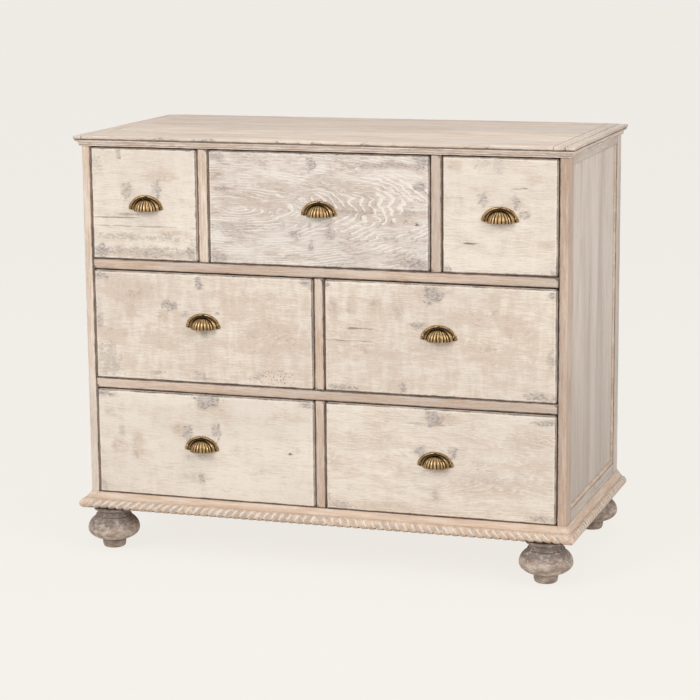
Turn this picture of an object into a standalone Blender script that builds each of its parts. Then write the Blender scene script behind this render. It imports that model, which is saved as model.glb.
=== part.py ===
"""A low pine chest: seven drawers in three rows, a moulded top, a moulded base and four bun feet.

Metres, +Z up. The front faces -Y, and the origin lies on the floor under the middle of the chest.
"""

import math

import bmesh
import bpy
from mathutils import Euler, Vector

# Clearances
SEAT_GAP = 0.0003
DRAWER_SIDE_GAP = 0.003
DRAWER_TOP_GAP = 0.003
DRAWER_FOOT_GAP = 0.0015
DRAWER_BACK_GAP = 0.018

# Carcase, from the floor up
CARCASE_WIDTH = 1.120
CARCASE_DEPTH = 0.540
FOOT_HEIGHT = 0.094
BASE_HEIGHT = 0.037
BOTTOM_ROW_HEIGHT = 0.246
MIDDLE_ROW_HEIGHT = 0.252
TOP_ROW_HEIGHT = 0.255
RAIL_HEIGHT = 0.023
CORNICE_HEIGHT = 0.015
TOP_THICKNESS = 0.0095

# Frame timbers
POST_THICKNESS = 0.020
FRONT_STILE_WIDTH = 0.047
REAR_STILE_WIDTH = 0.047
RAIL_DEPTH = 0.060
TOP_RAIL_DEPTH = 0.045
BASE_RAIL_DEPTH = 0.022
BACK_RAIL_DEPTH = 0.020
TOP_DIVIDER_WIDTH = 0.024
CENTRE_DIVIDER_WIDTH = 0.022
END_OPENING_WIDTH = 0.259
SIDE_TOP_RAIL_HEIGHT = 0.034
SIDE_FOOT_RAIL_HEIGHT = 0.0615
FRAME_EDGE_RADIUS = 0.0012

# Boards and panels
PANEL_THICKNESS = 0.009
PANEL_RECESS = 0.005
BACK_THICKNESS = 0.010
DUST_BOARD_THICKNESS = 0.010
BOTTOM_BOARD_THICKNESS = 0.012

# Bead round the rear and the foot of each side panel
BEAD_WIDTH = 0.010
BEAD_HEIGHT = 0.0042
BEAD_STEPS = 6

# Top: two end pieces, each with a scratched line, and the boards between them
TOP_OVERHANG = 0.015
TOP_END_WIDTH = 0.046
TOP_LINE_FROM_EDGE = 0.020
TOP_LINE_WIDTH = 0.0016
TOP_LINE_DEPTH = 0.0012
TOP_EDGE_RADIUS = 0.0035

# Cornice under the top: a foot fillet, a cove and a head fillet
CORNICE_FOOT_REACH = 0.004
CORNICE_HEAD_REACH = 0.012
CORNICE_FILLET = 0.003
COVE_STEPS = 4

# Base moulding: a slope over a half-round rope bead, with a slanted joint at the front corners
BASE_SLOPE_REACH = 0.0115
BASE_SLOPE_HEIGHT = 0.0140
ROPE_RADIUS = 0.0115
ROPE_STEPS = 8
CORNER_RETURN = 0.040
JOINT_CUTTER_SIZE = 0.200

# Bun feet
FOOT_INSET_SIDE = 0.047
FOOT_INSET_FRONT = 0.015
FOOT_INSET_BACK = 0.060
FOOT_BALL_RADIUS = 0.0595
FOOT_BALL_LEVEL = 0.0435
FOOT_PAD_HEIGHT = 0.017
FOOT_PAD_RADIUS = 0.0240
FOOT_PAD_HEAD_RADIUS = 0.0265
FOOT_PAD_EDGE = 0.004
FOOT_NECK_RADIUS = 0.040
FOOT_NECK_LEVEL = 0.082
FOOT_FLANGE_RADIUS = 0.0465
FOOT_FLANGE_EDGE = 0.005
FOOT_BALL_STEPS = 5
FOOT_SEGMENTS = 28

# Drawers
FRONT_THICKNESS = 0.020
FRONT_PROUD = 0.002
FRONT_EDGE_RADIUS = 0.003
BOX_SIDE_THICKNESS = 0.011
BOX_BACK_THICKNESS = 0.011
BOX_BOTTOM_THICKNESS = 0.008
BOX_HEAD_DROP = 0.010

# Cup pulls: an arched plate round a quarter of a hollow, fluted ellipsoid, its mouth down
PULL_PLATE_HALF_WIDTH = 0.042
PULL_PLATE_HEIGHT = 0.033
PULL_PLATE_THICKNESS = 0.0016
PULL_CUP_HALF_WIDTH = 0.0285
PULL_CUP_HEIGHT = 0.0275
PULL_CUP_REACH = 0.0225
PULL_CUP_DROOP = 0.0015
PULL_WALL = 0.0018
PULL_LEDGE = 0.0006
PULL_PLATE_STEPS = 18
PULL_CUP_RINGS = 12
FLUTES = 9
FLUTE_DEPTH = 0.0016
FLUTE_STEPS = 4

# Where things lie, worked out from the sizes above
HALF_WIDTH = CARCASE_WIDTH / 2
BASE_REACH = BASE_SLOPE_REACH + ROPE_RADIUS
FRONT_REACH = max(BASE_REACH, TOP_OVERHANG, FOOT_BALL_RADIUS - FOOT_INSET_FRONT)
BACK_REACH = max(0.0, FOOT_BALL_RADIUS - FOOT_INSET_BACK)
FRONT_Y = (FRONT_REACH - BACK_REACH - CARCASE_DEPTH) / 2
BACK_Y = FRONT_Y + CARCASE_DEPTH
INNER_BACK_Y = BACK_Y - BACK_THICKNESS - SEAT_GAP
OPENING_EDGE_X = HALF_WIDTH - POST_THICKNESS
CENTRE_DIVIDER_X = CENTRE_DIVIDER_WIDTH / 2
TOP_DIVIDER_OUTER_X = OPENING_EDGE_X - END_OPENING_WIDTH
TOP_DIVIDER_INNER_X = TOP_DIVIDER_OUTER_X - TOP_DIVIDER_WIDTH
BOTTOM_ROW_Z = FOOT_HEIGHT + BASE_HEIGHT
LOWER_RAIL_Z = BOTTOM_ROW_Z + BOTTOM_ROW_HEIGHT
MIDDLE_ROW_Z = LOWER_RAIL_Z + RAIL_HEIGHT
UPPER_RAIL_Z = MIDDLE_ROW_Z + MIDDLE_ROW_HEIGHT
TOP_ROW_Z = UPPER_RAIL_Z + RAIL_HEIGHT
TOP_RAIL_Z = TOP_ROW_Z + TOP_ROW_HEIGHT
CARCASE_TOP_Z = TOP_RAIL_Z + CORNICE_HEIGHT
TOP_UNDERSIDE_Z = CARCASE_TOP_Z + SEAT_GAP
PANEL_OUTER_X = HALF_WIDTH - PANEL_RECESS
TOP_EDGE_X = HALF_WIDTH + TOP_OVERHANG
TOP_JOINT_X = TOP_EDGE_X - TOP_END_WIDTH

# Each drawer: its name, its opening's left and right edges and foot, its height, then how far its pull
# sits to the right of the middle and above it
DRAWERS = (
    ("top_left", -OPENING_EDGE_X, -TOP_DIVIDER_OUTER_X, TOP_ROW_Z, TOP_ROW_HEIGHT, 0.005, 0.004),
    ("top_middle", -TOP_DIVIDER_INNER_X, TOP_DIVIDER_INNER_X, TOP_ROW_Z, TOP_ROW_HEIGHT, 0.004, 0.004),
    ("top_right", TOP_DIVIDER_OUTER_X, OPENING_EDGE_X, TOP_ROW_Z, TOP_ROW_HEIGHT, 0.001, 0.004),
    ("middle_left", -OPENING_EDGE_X, -CENTRE_DIVIDER_X, MIDDLE_ROW_Z, MIDDLE_ROW_HEIGHT, 0.002, 0.018),
    ("middle_right", CENTRE_DIVIDER_X, OPENING_EDGE_X, MIDDLE_ROW_Z, MIDDLE_ROW_HEIGHT, 0.0, 0.018),
    ("bottom_left", -OPENING_EDGE_X, -CENTRE_DIVIDER_X, BOTTOM_ROW_Z, BOTTOM_ROW_HEIGHT, -0.007, 0.008),
    ("bottom_right", CENTRE_DIVIDER_X, OPENING_EDGE_X, BOTTOM_ROW_Z, BOTTOM_ROW_HEIGHT, -0.008, 0.008),
)

# Finishes: colour, roughness and metallic value
FINISHES = {
    "limed_drawer_front": ((0.80, 0.76, 0.69), 0.62, 0.0),
    "rubbed_frame": ((0.70, 0.59, 0.50), 0.62, 0.0),
    "limed_side": ((0.68, 0.63, 0.58), 0.65, 0.0),
    "limed_top": ((0.72, 0.66, 0.58), 0.60, 0.0),
    "rope_moulding": ((0.74, 0.65, 0.56), 0.62, 0.0),
    "worn_foot": ((0.36, 0.32, 0.30), 0.60, 0.0),
    "raw_pine": ((0.66, 0.52, 0.36), 0.70, 0.0),
    "antique_brass": ((0.42, 0.31, 0.15), 0.35, 1.0),
}


def clear_scene():
    for thing in list(bpy.data.objects):
        bpy.data.objects.remove(thing, do_unlink=True)


def make_collection(name):
    collection = bpy.data.collections.new(name)
    bpy.context.scene.collection.children.link(collection)
    return collection


def make_finish(name):
    colour, roughness, metallic = FINISHES[name]
    material = bpy.data.materials.new(name)
    material.use_nodes = True
    shader = material.node_tree.nodes["Principled BSDF"]
    shader.inputs["Base Color"].default_value = (*colour, 1.0)
    shader.inputs["Roughness"].default_value = roughness
    shader.inputs["Metallic"].default_value = metallic
    material.diffuse_color = (*colour, 1.0)
    return material


def add_object(name, mesh, finish, location=(0.0, 0.0, 0.0), rotation=(0.0, 0.0, 0.0), parent=None):
    """Puts a mesh in the chest's collection, with its finish, at its place under its parent."""
    thing = bpy.data.objects.new(name, mesh)
    chest.objects.link(thing)
    if not mesh.materials:
        mesh.materials.append(finishes[finish])
    thing.location = location
    thing.rotation_euler = Euler(rotation)
    thing.parent = parent
    return thing


def mesh_from(builder, name):
    bmesh.ops.recalc_face_normals(builder, faces=builder.faces)
    mesh = bpy.data.meshes.new(name)
    builder.to_mesh(mesh)
    builder.free()
    return mesh


def round_edges(builder, chosen, radius, steps):
    """Rounds the edges for which chosen(one end, other end) holds."""
    edges = [edge for edge in builder.edges if chosen(edge.verts[0].co, edge.verts[1].co)]
    bmesh.ops.bevel(
        builder, geom=edges, offset=radius, segments=steps, profile=0.5, affect="EDGES", clamp_overlap=True
    )


def board(name, low, high, finish, parent=None, radius=FRAME_EDGE_RADIUS, steps=1, rounded=None):
    """A board between two corners, with all its edges eased, or only the chosen ones. Its origin is its middle,
    and the corners and the choice are read in the parent's place."""
    low, high = Vector(low), Vector(high)
    middle = (low + high) / 2
    builder = bmesh.new()
    bmesh.ops.create_cube(builder, size=1.0)
    bmesh.ops.scale(builder, vec=high - low, verts=builder.verts)
    if radius > 0:
        round_edges(builder, rounded or (lambda one, other: True), radius, steps)
    return add_object(name, mesh_from(builder, name), finish, location=middle, parent=parent)


def swept(path, profile):
    """A moulding: the profile's points, outwards and up, carried along a path on the ground and mitred at its
    corners. Outwards is to the right of the way the path runs."""
    builder = bmesh.new()
    number = builder.verts.layers.int.new("profile_point")
    face = builder.faces.new([builder.verts.new() for _ in profile])
    for index, vert in enumerate(face.verts):
        vert[number] = index
    points = [Vector(point) for point in path]
    runs = [(after - before).normalized() for before, after in zip(points, points[1:])]
    outward = [Vector((run.y, -run.x)) for run in runs]
    for corner, point in enumerate(points):
        if corner:
            outline = [face, *face.edges, *face.verts]
            extruded = bmesh.ops.extrude_face_region(builder, geom=outline)["geom"]
            face = next(item for item in extruded if isinstance(item, bmesh.types.BMFace))
        before = outward[max(corner - 1, 0)]
        after = outward[min(corner, len(runs) - 1)]
        mitre = (before + after) / (1 + before.dot(after))
        for vert in face.verts:
            out, up = profile[vert[number]]
            vert.co = (*(point + mitre * out), up)
    bmesh.ops.recalc_face_normals(builder, faces=builder.faces)
    return builder


def cut_off(builder, point, outwards):
    """Takes away what lies beyond a plane, and closes the cut."""
    everything = builder.verts[:] + builder.edges[:] + builder.faces[:]
    cut = bmesh.ops.bisect_plane(
        builder, geom=everything, dist=1e-6, plane_co=point, plane_no=outwards, clear_outer=True
    )
    edges = [item for item in cut["geom_cut"] if isinstance(item, bmesh.types.BMEdge)]
    bmesh.ops.contextual_create(builder, geom=edges)


def arc(centre_x, centre_y, radius_x, radius_y, start, end, steps):
    """Points on an arc, both ends among them; the angles are in degrees."""
    angles = [math.radians(start + (end - start) * step / steps) for step in range(steps + 1)]
    return [(centre_x + radius_x * math.cos(a), centre_y + radius_y * math.sin(a)) for a in angles]


def solid_mesh(thing):
    """The mesh of an object as its modifiers leave it, in its own place. The object is removed."""
    bpy.context.view_layer.update()
    graph = bpy.context.evaluated_depsgraph_get()
    mesh = bpy.data.meshes.new_from_object(thing.evaluated_get(graph), depsgraph=graph)
    mesh.transform(thing.matrix_world)
    builder = bmesh.new()
    builder.from_mesh(mesh)
    bmesh.ops.remove_doubles(builder, verts=builder.verts, dist=1e-6)
    bpy.data.objects.remove(thing, do_unlink=True)
    return mesh_from(builder, mesh.name)


def combine(thing, other, operation):
    """Joins or cuts one object with another by a Boolean, and keeps the other as a hidden helper."""
    for old in list(other.users_collection):
        old.objects.unlink(other)
    helpers.objects.link(other)
    other.hide_render = True
    other.display_type = "WIRE"
    modifier = thing.modifiers.new(operation.lower(), "BOOLEAN")
    modifier.operation = operation
    modifier.object = other


def each_side():
    """The two ends of the chest: the word for each in names, and its sign in X."""
    return (("left", -1), ("right", 1))


def span(side, inner, outer):
    """Low and high X of a piece that runs from an inner to an outer distance on one side."""
    return sorted((side * inner, side * outer))


def make_posts():
    rows = (
        ("front", FRONT_Y, FRONT_Y + FRONT_STILE_WIDTH),
        ("rear", BACK_Y - REAR_STILE_WIDTH, BACK_Y),
    )
    for where, low_y, high_y in rows:
        for word, side in each_side():
            low_x, high_x = span(side, OPENING_EDGE_X, HALF_WIDTH)
            board(
                f"post_{where}_{word}",
                (low_x, low_y, FOOT_HEIGHT),
                (high_x, high_y, CARCASE_TOP_Z),
                "rubbed_frame",
            )


def bead_profile():
    """A flat-backed bead, from the edge of the panel inwards and up from the panel's face."""
    crown = arc(BEAD_WIDTH / 2, 0.0, BEAD_WIDTH / 2, BEAD_HEIGHT, 0, 180, BEAD_STEPS)
    return [(BEAD_WIDTH - out, up) for out, up in crown]


def make_sides():
    low_y = FRONT_Y + FRONT_STILE_WIDTH + SEAT_GAP
    high_y = BACK_Y - REAR_STILE_WIDTH - SEAT_GAP
    panel_foot = FOOT_HEIGHT + SIDE_FOOT_RAIL_HEIGHT
    panel_head = CARCASE_TOP_Z - SIDE_TOP_RAIL_HEIGHT
    for word, side in each_side():
        low_x, high_x = span(side, OPENING_EDGE_X, HALF_WIDTH)
        board(
            f"side_top_rail_{word}", (low_x, low_y, panel_head), (high_x, high_y, CARCASE_TOP_Z), "limed_side"
        )
        board(
            f"side_foot_rail_{word}", (low_x, low_y, FOOT_HEIGHT), (high_x, high_y, panel_foot), "limed_side"
        )
        low_x, high_x = span(side, PANEL_OUTER_X - PANEL_THICKNESS, PANEL_OUTER_X)
        board(
            f"side_panel_{word}",
            (low_x, low_y, panel_foot + SEAT_GAP),
            (high_x, high_y, panel_head - SEAT_GAP),
            "limed_side",
            radius=0,
        )
        make_side_bead(word, side, low_y, high_y, panel_foot, panel_head)


def make_side_bead(word, side, low_y, high_y, panel_foot, panel_head):
    """An L of bead, down the rear edge of the panel and forward along its foot. It is swept flat, its run
    along X and its rise along Y, and then stood up against the panel."""
    run = high_y - low_y - 2 * SEAT_GAP
    rise = panel_head - panel_foot - 2 * SEAT_GAP
    if side > 0:
        path = [(run, rise), (run, 0.0), (0.0, 0.0)]
        turn, start_y = math.pi / 2, low_y + SEAT_GAP
    else:
        path = [(run, 0.0), (0.0, 0.0), (0.0, rise)]
        turn, start_y = -math.pi / 2, high_y - SEAT_GAP
    mesh = mesh_from(swept(path, bead_profile()), f"side_bead_{word}")
    add_object(
        f"side_bead_{word}",
        mesh,
        "rubbed_frame",
        location=(side * (PANEL_OUTER_X + SEAT_GAP), start_y, panel_foot + SEAT_GAP),
        rotation=(math.pi / 2, 0.0, turn),
    )


def make_front_frame():
    low_x, high_x = -OPENING_EDGE_X + SEAT_GAP, OPENING_EDGE_X - SEAT_GAP
    rails = (
        ("bottom_front_rail", FOOT_HEIGHT, BOTTOM_ROW_Z, BASE_RAIL_DEPTH),
        ("lower_drawer_rail", LOWER_RAIL_Z, MIDDLE_ROW_Z, RAIL_DEPTH),
        ("upper_drawer_rail", UPPER_RAIL_Z, TOP_ROW_Z, RAIL_DEPTH),
        ("top_front_rail", TOP_RAIL_Z, CARCASE_TOP_Z, TOP_RAIL_DEPTH),
    )
    for name, low_z, high_z, depth in rails:
        board(name, (low_x, FRONT_Y, low_z), (high_x, FRONT_Y + depth, high_z), "rubbed_frame")
    dividers = (
        ("top_divider_left", -TOP_DIVIDER_OUTER_X, -TOP_DIVIDER_INNER_X, TOP_ROW_Z, TOP_RAIL_Z),
        ("top_divider_right", TOP_DIVIDER_INNER_X, TOP_DIVIDER_OUTER_X, TOP_ROW_Z, TOP_RAIL_Z),
        ("middle_divider", -CENTRE_DIVIDER_X, CENTRE_DIVIDER_X, MIDDLE_ROW_Z, UPPER_RAIL_Z),
        ("bottom_divider", -CENTRE_DIVIDER_X, CENTRE_DIVIDER_X, BOTTOM_ROW_Z, LOWER_RAIL_Z),
    )
    for name, left, right, low_z, high_z in dividers:
        board(
            name,
            (left, FRONT_Y, low_z + SEAT_GAP),
            (right, INNER_BACK_Y, high_z - SEAT_GAP),
            "rubbed_frame",
        )


def make_boards_inside():
    inner_x = OPENING_EDGE_X - SEAT_GAP
    dust_boards = (("lower_dust_board", MIDDLE_ROW_Z), ("upper_dust_board", TOP_ROW_Z))
    for name, head in dust_boards:
        board(
            name,
            (-inner_x, FRONT_Y + RAIL_DEPTH + SEAT_GAP, head - DUST_BOARD_THICKNESS),
            (inner_x, INNER_BACK_Y, head),
            "raw_pine",
            radius=0,
        )
    board(
        "bottom_board",
        (-inner_x, FRONT_Y + BASE_RAIL_DEPTH + SEAT_GAP, BOTTOM_ROW_Z - BOTTOM_BOARD_THICKNESS),
        (inner_x, INNER_BACK_Y, BOTTOM_ROW_Z),
        "raw_pine",
        radius=0,
    )
    board(
        "back_panel",
        (-inner_x, BACK_Y - BACK_THICKNESS, FOOT_HEIGHT),
        (inner_x, BACK_Y, CARCASE_TOP_Z),
        "raw_pine",
    )
    board(
        "back_top_rail",
        (-inner_x, INNER_BACK_Y - BACK_RAIL_DEPTH, TOP_RAIL_Z),
        (inner_x, INNER_BACK_Y, CARCASE_TOP_Z),
        "raw_pine",
    )


def make_top():
    low_y, high_y = FRONT_Y - TOP_OVERHANG, BACK_Y
    head = TOP_UNDERSIDE_Z + TOP_THICKNESS
    front_face = (low_y - high_y) / 2

    def at_front(one, other):
        return max(one.y, other.y) < front_face + 1e-6 and abs(one.x - other.x) > 1e-6

    board(
        "top_board",
        (-TOP_JOINT_X + SEAT_GAP, low_y, TOP_UNDERSIDE_Z),
        (TOP_JOINT_X - SEAT_GAP, high_y, head),
        "limed_top",
        radius=TOP_EDGE_RADIUS,
        steps=3,
        rounded=at_front,
    )
    for word, side in each_side():
        make_top_end(word, side, low_y, high_y)


def make_top_end(word, side, low_y, high_y):
    """One end of the top: a strip with its outer and front edges rounded, and a line scratched along it."""
    low_x, high_x = span(side, TOP_JOINT_X, TOP_EDGE_X)
    outer = side * TOP_END_WIDTH / 2
    front_face = (low_y - high_y) / 2

    def outside(one, other):
        along = abs(one.y - other.y) > 1e-6 and max(abs(one.x - outer), abs(other.x - outer)) < 1e-6
        across = abs(one.x - other.x) > 1e-6 and max(one.y, other.y) < front_face + 1e-6
        corner = abs(one.z - other.z) > 1e-6 and abs(one.x - outer) < 1e-6 and one.y < front_face + 1e-6
        return along or across or corner

    end = board(
        f"top_end_{word}",
        (low_x, low_y, TOP_UNDERSIDE_Z),
        (high_x, high_y, TOP_UNDERSIDE_Z + TOP_THICKNESS),
        "limed_top",
        radius=TOP_EDGE_RADIUS,
        steps=3,
        rounded=outside,
    )
    builder = bmesh.new()
    bmesh.ops.create_cube(builder, size=1.0)
    length = (high_y - low_y) * 1.1
    bmesh.ops.scale(builder, vec=(TOP_LINE_WIDTH, length, 2 * TOP_LINE_DEPTH), verts=builder.verts)
    line_x = side * (TOP_EDGE_X - TOP_LINE_FROM_EDGE)
    place = (line_x, (low_y + high_y) / 2, TOP_UNDERSIDE_Z + TOP_THICKNESS)
    line = add_object(f"line_cutter_{word}", mesh_from(builder, "line_cutter"), "limed_top", location=place)
    combine(end, line, "DIFFERENCE")


def cornice_profile():
    """Outwards and up: foot fillet, cove, head fillet. The back lies a seat gap off the carcase."""
    cove_foot = TOP_RAIL_Z + CORNICE_FILLET
    cove_head = CARCASE_TOP_Z - CORNICE_FILLET
    cove = arc(
        CORNICE_HEAD_REACH,
        cove_foot,
        CORNICE_FOOT_REACH - CORNICE_HEAD_REACH,
        cove_head - cove_foot,
        0,
        90,
        COVE_STEPS,
    )
    return [
        (SEAT_GAP, TOP_RAIL_Z),
        (CORNICE_FOOT_REACH, TOP_RAIL_Z),
        *cove,
        (CORNICE_HEAD_REACH, CARCASE_TOP_Z),
        (SEAT_GAP, CARCASE_TOP_Z),
    ]


def make_cornice():
    """Three strips, mitred in plan at the front corners."""
    spare = 2 * CORNICE_HEAD_REACH
    front = swept([(-HALF_WIDTH - spare, FRONT_Y), (HALF_WIDTH + spare, FRONT_Y)], cornice_profile())
    for word, side in each_side():
        cut_off(front, (side * (HALF_WIDTH - SEAT_GAP), FRONT_Y, 0.0), Vector((side, 1.0, 0.0)).normalized())
        if side > 0:
            path = [(HALF_WIDTH, FRONT_Y - spare), (HALF_WIDTH, BACK_Y)]
        else:
            path = [(-HALF_WIDTH, BACK_Y), (-HALF_WIDTH, FRONT_Y - spare)]
        strip = swept(path, cornice_profile())
        cut_off(strip, (side * HALF_WIDTH, FRONT_Y, 0.0), Vector((-side, -1.0, 0.0)).normalized())
        add_object(f"cornice_{word}", mesh_from(strip, f"cornice_{word}"), "rubbed_frame")
    add_object("cornice_front", mesh_from(front, "cornice_front"), "rubbed_frame")


def base_profile():
    """Outwards and up: a half-round bead at the foot and a slope from it up to the carcase."""
    bead_level = FOOT_HEIGHT + ROPE_RADIUS
    bead = arc(BASE_SLOPE_REACH, bead_level, ROPE_RADIUS, ROPE_RADIUS, -90, 90, ROPE_STEPS)
    slope_foot = (BASE_SLOPE_REACH, BOTTOM_ROW_Z - BASE_SLOPE_HEIGHT)
    return [(SEAT_GAP, FOOT_HEIGHT), *bead, slope_foot, (SEAT_GAP + 0.001, BOTTOM_ROW_Z), (SEAT_GAP, BOTTOM_ROW_Z)]


def make_base_mouldings():
    """The side mouldings turn the front corners, and the front one fits between them on slanted joints that
    start at the foot of the outer drawer openings and run down and outwards."""
    spare = 2 * BASE_HEIGHT
    front = swept([(-HALF_WIDTH - spare, FRONT_Y), (HALF_WIDTH + spare, FRONT_Y)], base_profile())
    for word, side in each_side():
        slant = Vector((side, 0.0, 1.0)).normalized()
        joint = Vector((side * OPENING_EDGE_X, FRONT_Y, BOTTOM_ROW_Z))
        cut_off(front, joint - slant * SEAT_GAP, slant)
        inner_x = side * (HALF_WIDTH - CORNER_RETURN)
        if side > 0:
            path = [(inner_x, FRONT_Y), (HALF_WIDTH, FRONT_Y), (HALF_WIDTH, BACK_Y)]
        else:
            path = [(-HALF_WIDTH, BACK_Y), (-HALF_WIDTH, FRONT_Y), (inner_x, FRONT_Y)]
        turning = swept(path, base_profile())
        name = f"base_moulding_{word}"
        moulding = add_object(name, mesh_from(turning, name), "rope_moulding")
        cutter = board(
            f"joint_cutter_{word}",
            (-JOINT_CUTTER_SIZE / 2, -JOINT_CUTTER_SIZE, -JOINT_CUTTER_SIZE),
            (JOINT_CUTTER_SIZE / 2, 0.0, 0.0),
            "rope_moulding",
            radius=0,
        )
        cutter.rotation_euler = (0.0, side * math.pi / 4, 0.0)
        cutter.location = joint - slant * JOINT_CUTTER_SIZE / 2 - Vector((0.0, JOINT_CUTTER_SIZE / 2, 0.0))
        combine(moulding, cutter, "DIFFERENCE")
    add_object("base_moulding_front", mesh_from(front, "base_moulding_front"), "rope_moulding")


def quarter_ball(half_height, end_radius, turn):
    """The ball's outline between its widest level and the level where it has narrowed to a radius. It goes up
    for a turn of 1 and down for -1, and starts at the widest level."""
    angle = math.degrees(math.acos(end_radius / FOOT_BALL_RADIUS))
    return arc(0, FOOT_BALL_LEVEL, FOOT_BALL_RADIUS, half_height, 0, turn * angle, FOOT_BALL_STEPS)


def foot_profile():
    """Radius and height down the outside: flange, neck, ball, pad."""

    def half_height(rise, end_radius):
        return rise / math.sqrt(1 - (end_radius / FOOT_BALL_RADIUS) ** 2)

    upper = quarter_ball(half_height(FOOT_NECK_LEVEL - FOOT_BALL_LEVEL, FOOT_NECK_RADIUS), FOOT_NECK_RADIUS, 1)
    lower = quarter_ball(
        half_height(FOOT_BALL_LEVEL - FOOT_PAD_HEIGHT, FOOT_PAD_HEAD_RADIUS), FOOT_PAD_HEAD_RADIUS, -1
    )
    head = FOOT_HEIGHT - SEAT_GAP
    return [
        (0.0, head),
        (FOOT_FLANGE_RADIUS, head),
        (FOOT_FLANGE_RADIUS, head - FOOT_FLANGE_EDGE),
        *reversed(upper),
        *lower[1:],
        (FOOT_PAD_HEAD_RADIUS, FOOT_PAD_EDGE),
        (FOOT_PAD_RADIUS, 0.0),
        (0.0, 0.0),
    ]


def make_feet():
    builder = bmesh.new()
    verts = [builder.verts.new((radius, 0.0, height)) for radius, height in foot_profile()]
    for one, other in zip(verts, verts[1:]):
        builder.edges.new((one, other))
    outline = bpy.data.meshes.new("foot_outline")
    builder.to_mesh(outline)
    builder.free()
    turning = add_object("foot_turning", outline, "worn_foot")
    screw = turning.modifiers.new("turn", "SCREW")
    screw.steps = FOOT_SEGMENTS
    screw.render_steps = FOOT_SEGMENTS
    screw.use_merge_vertices = True
    screw.merge_threshold = 1e-5
    mesh = solid_mesh(turning)
    mesh.name = "bun_foot"
    mesh.shade_smooth()
    mesh.set_sharp_from_angle(angle=math.radians(35))
    rows = (("front", FRONT_Y + FOOT_INSET_FRONT), ("rear", BACK_Y - FOOT_INSET_BACK))
    for where, y in rows:
        for word, side in each_side():
            x = side * (HALF_WIDTH - FOOT_INSET_SIDE)
            add_object(f"bun_foot_{where}_{word}", mesh, "worn_foot", location=(x, y, 0.0))


def cup_shell():
    """A quarter of an ellipsoid with its pole up, fluted from the pole down to the mouth, and its wall."""
    builder = bmesh.new()
    segments = 2 * FLUTES * FLUTE_STEPS
    bmesh.ops.create_uvsphere(builder, u_segments=segments, v_segments=PULL_CUP_RINGS, radius=1.0)
    for keep in ((0, 0, 1), (0, -1, 0)):
        everything = builder.verts[:] + builder.edges[:] + builder.faces[:]
        bmesh.ops.bisect_plane(
            builder, geom=everything, dist=1e-5, plane_co=(0, 0, 0), plane_no=Vector(keep), clear_inner=True
        )
    for vert in builder.verts:
        turn = math.atan2(-vert.co.y, vert.co.x)
        hollow = 1 - abs(math.sin(FLUTES * turn))
        share = 1 - hollow * FLUTE_DEPTH / PULL_CUP_HALF_WIDTH
        vert.co.x *= PULL_CUP_HALF_WIDTH * share
        vert.co.y *= PULL_CUP_REACH * share
        vert.co.z *= PULL_CUP_HEIGHT
    cup = add_object("cup", mesh_from(builder, "cup"), "antique_brass")
    cup.location = (0.0, -PULL_PLATE_THICKNESS / 2, -PULL_CUP_DROOP)
    wall = cup.modifiers.new("wall", "SOLIDIFY")
    wall.thickness = PULL_WALL
    wall.offset = -1.0
    return cup


def pull_plate():
    """The arched plate, open where the cup's hollow meets it. It is drawn flat and stood up."""
    inner = PULL_CUP_HALF_WIDTH - FLUTE_DEPTH - PULL_WALL - PULL_LEDGE
    inner_height = PULL_CUP_HEIGHT - PULL_CUP_DROOP - PULL_WALL - PULL_LEDGE
    outline = arc(0, 0, PULL_PLATE_HALF_WIDTH, PULL_PLATE_HEIGHT, 0, 180, PULL_PLATE_STEPS)
    outline += arc(0, 0, inner, inner_height, 180, 0, PULL_PLATE_STEPS)
    curve = bpy.data.curves.new("plate", "CURVE")
    curve.dimensions = "2D"
    curve.fill_mode = "BOTH"
    curve.extrude = PULL_PLATE_THICKNESS / 2
    spline = curve.splines.new("POLY")
    spline.points.add(len(outline) - 1)
    for point, (across, up) in zip(spline.points, outline):
        point.co = (across, up, 0.0, 1.0)
    spline.use_cyclic_u = True
    plate = bpy.data.objects.new("plate", curve)
    chest.objects.link(plate)
    plate.location = (0.0, -PULL_PLATE_THICKNESS / 2, 0.0)
    plate.rotation_euler = (math.pi / 2, 0.0, 0.0)
    return plate


def cup_pull_mesh():
    """The pull stands on the XZ plane, its cup towards -Y. Its origin is the middle of the plate's foot."""
    plate = add_object("plate_solid", solid_mesh(pull_plate()), "antique_brass")
    cup = add_object("cup_solid", solid_mesh(cup_shell()), "antique_brass")
    combine(plate, cup, "UNION")
    mesh = solid_mesh(plate)
    bpy.data.objects.remove(cup, do_unlink=True)
    mesh.name = "cup_pull"
    mesh.shade_smooth()
    mesh.set_sharp_from_angle(angle=math.radians(40))
    return mesh


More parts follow.
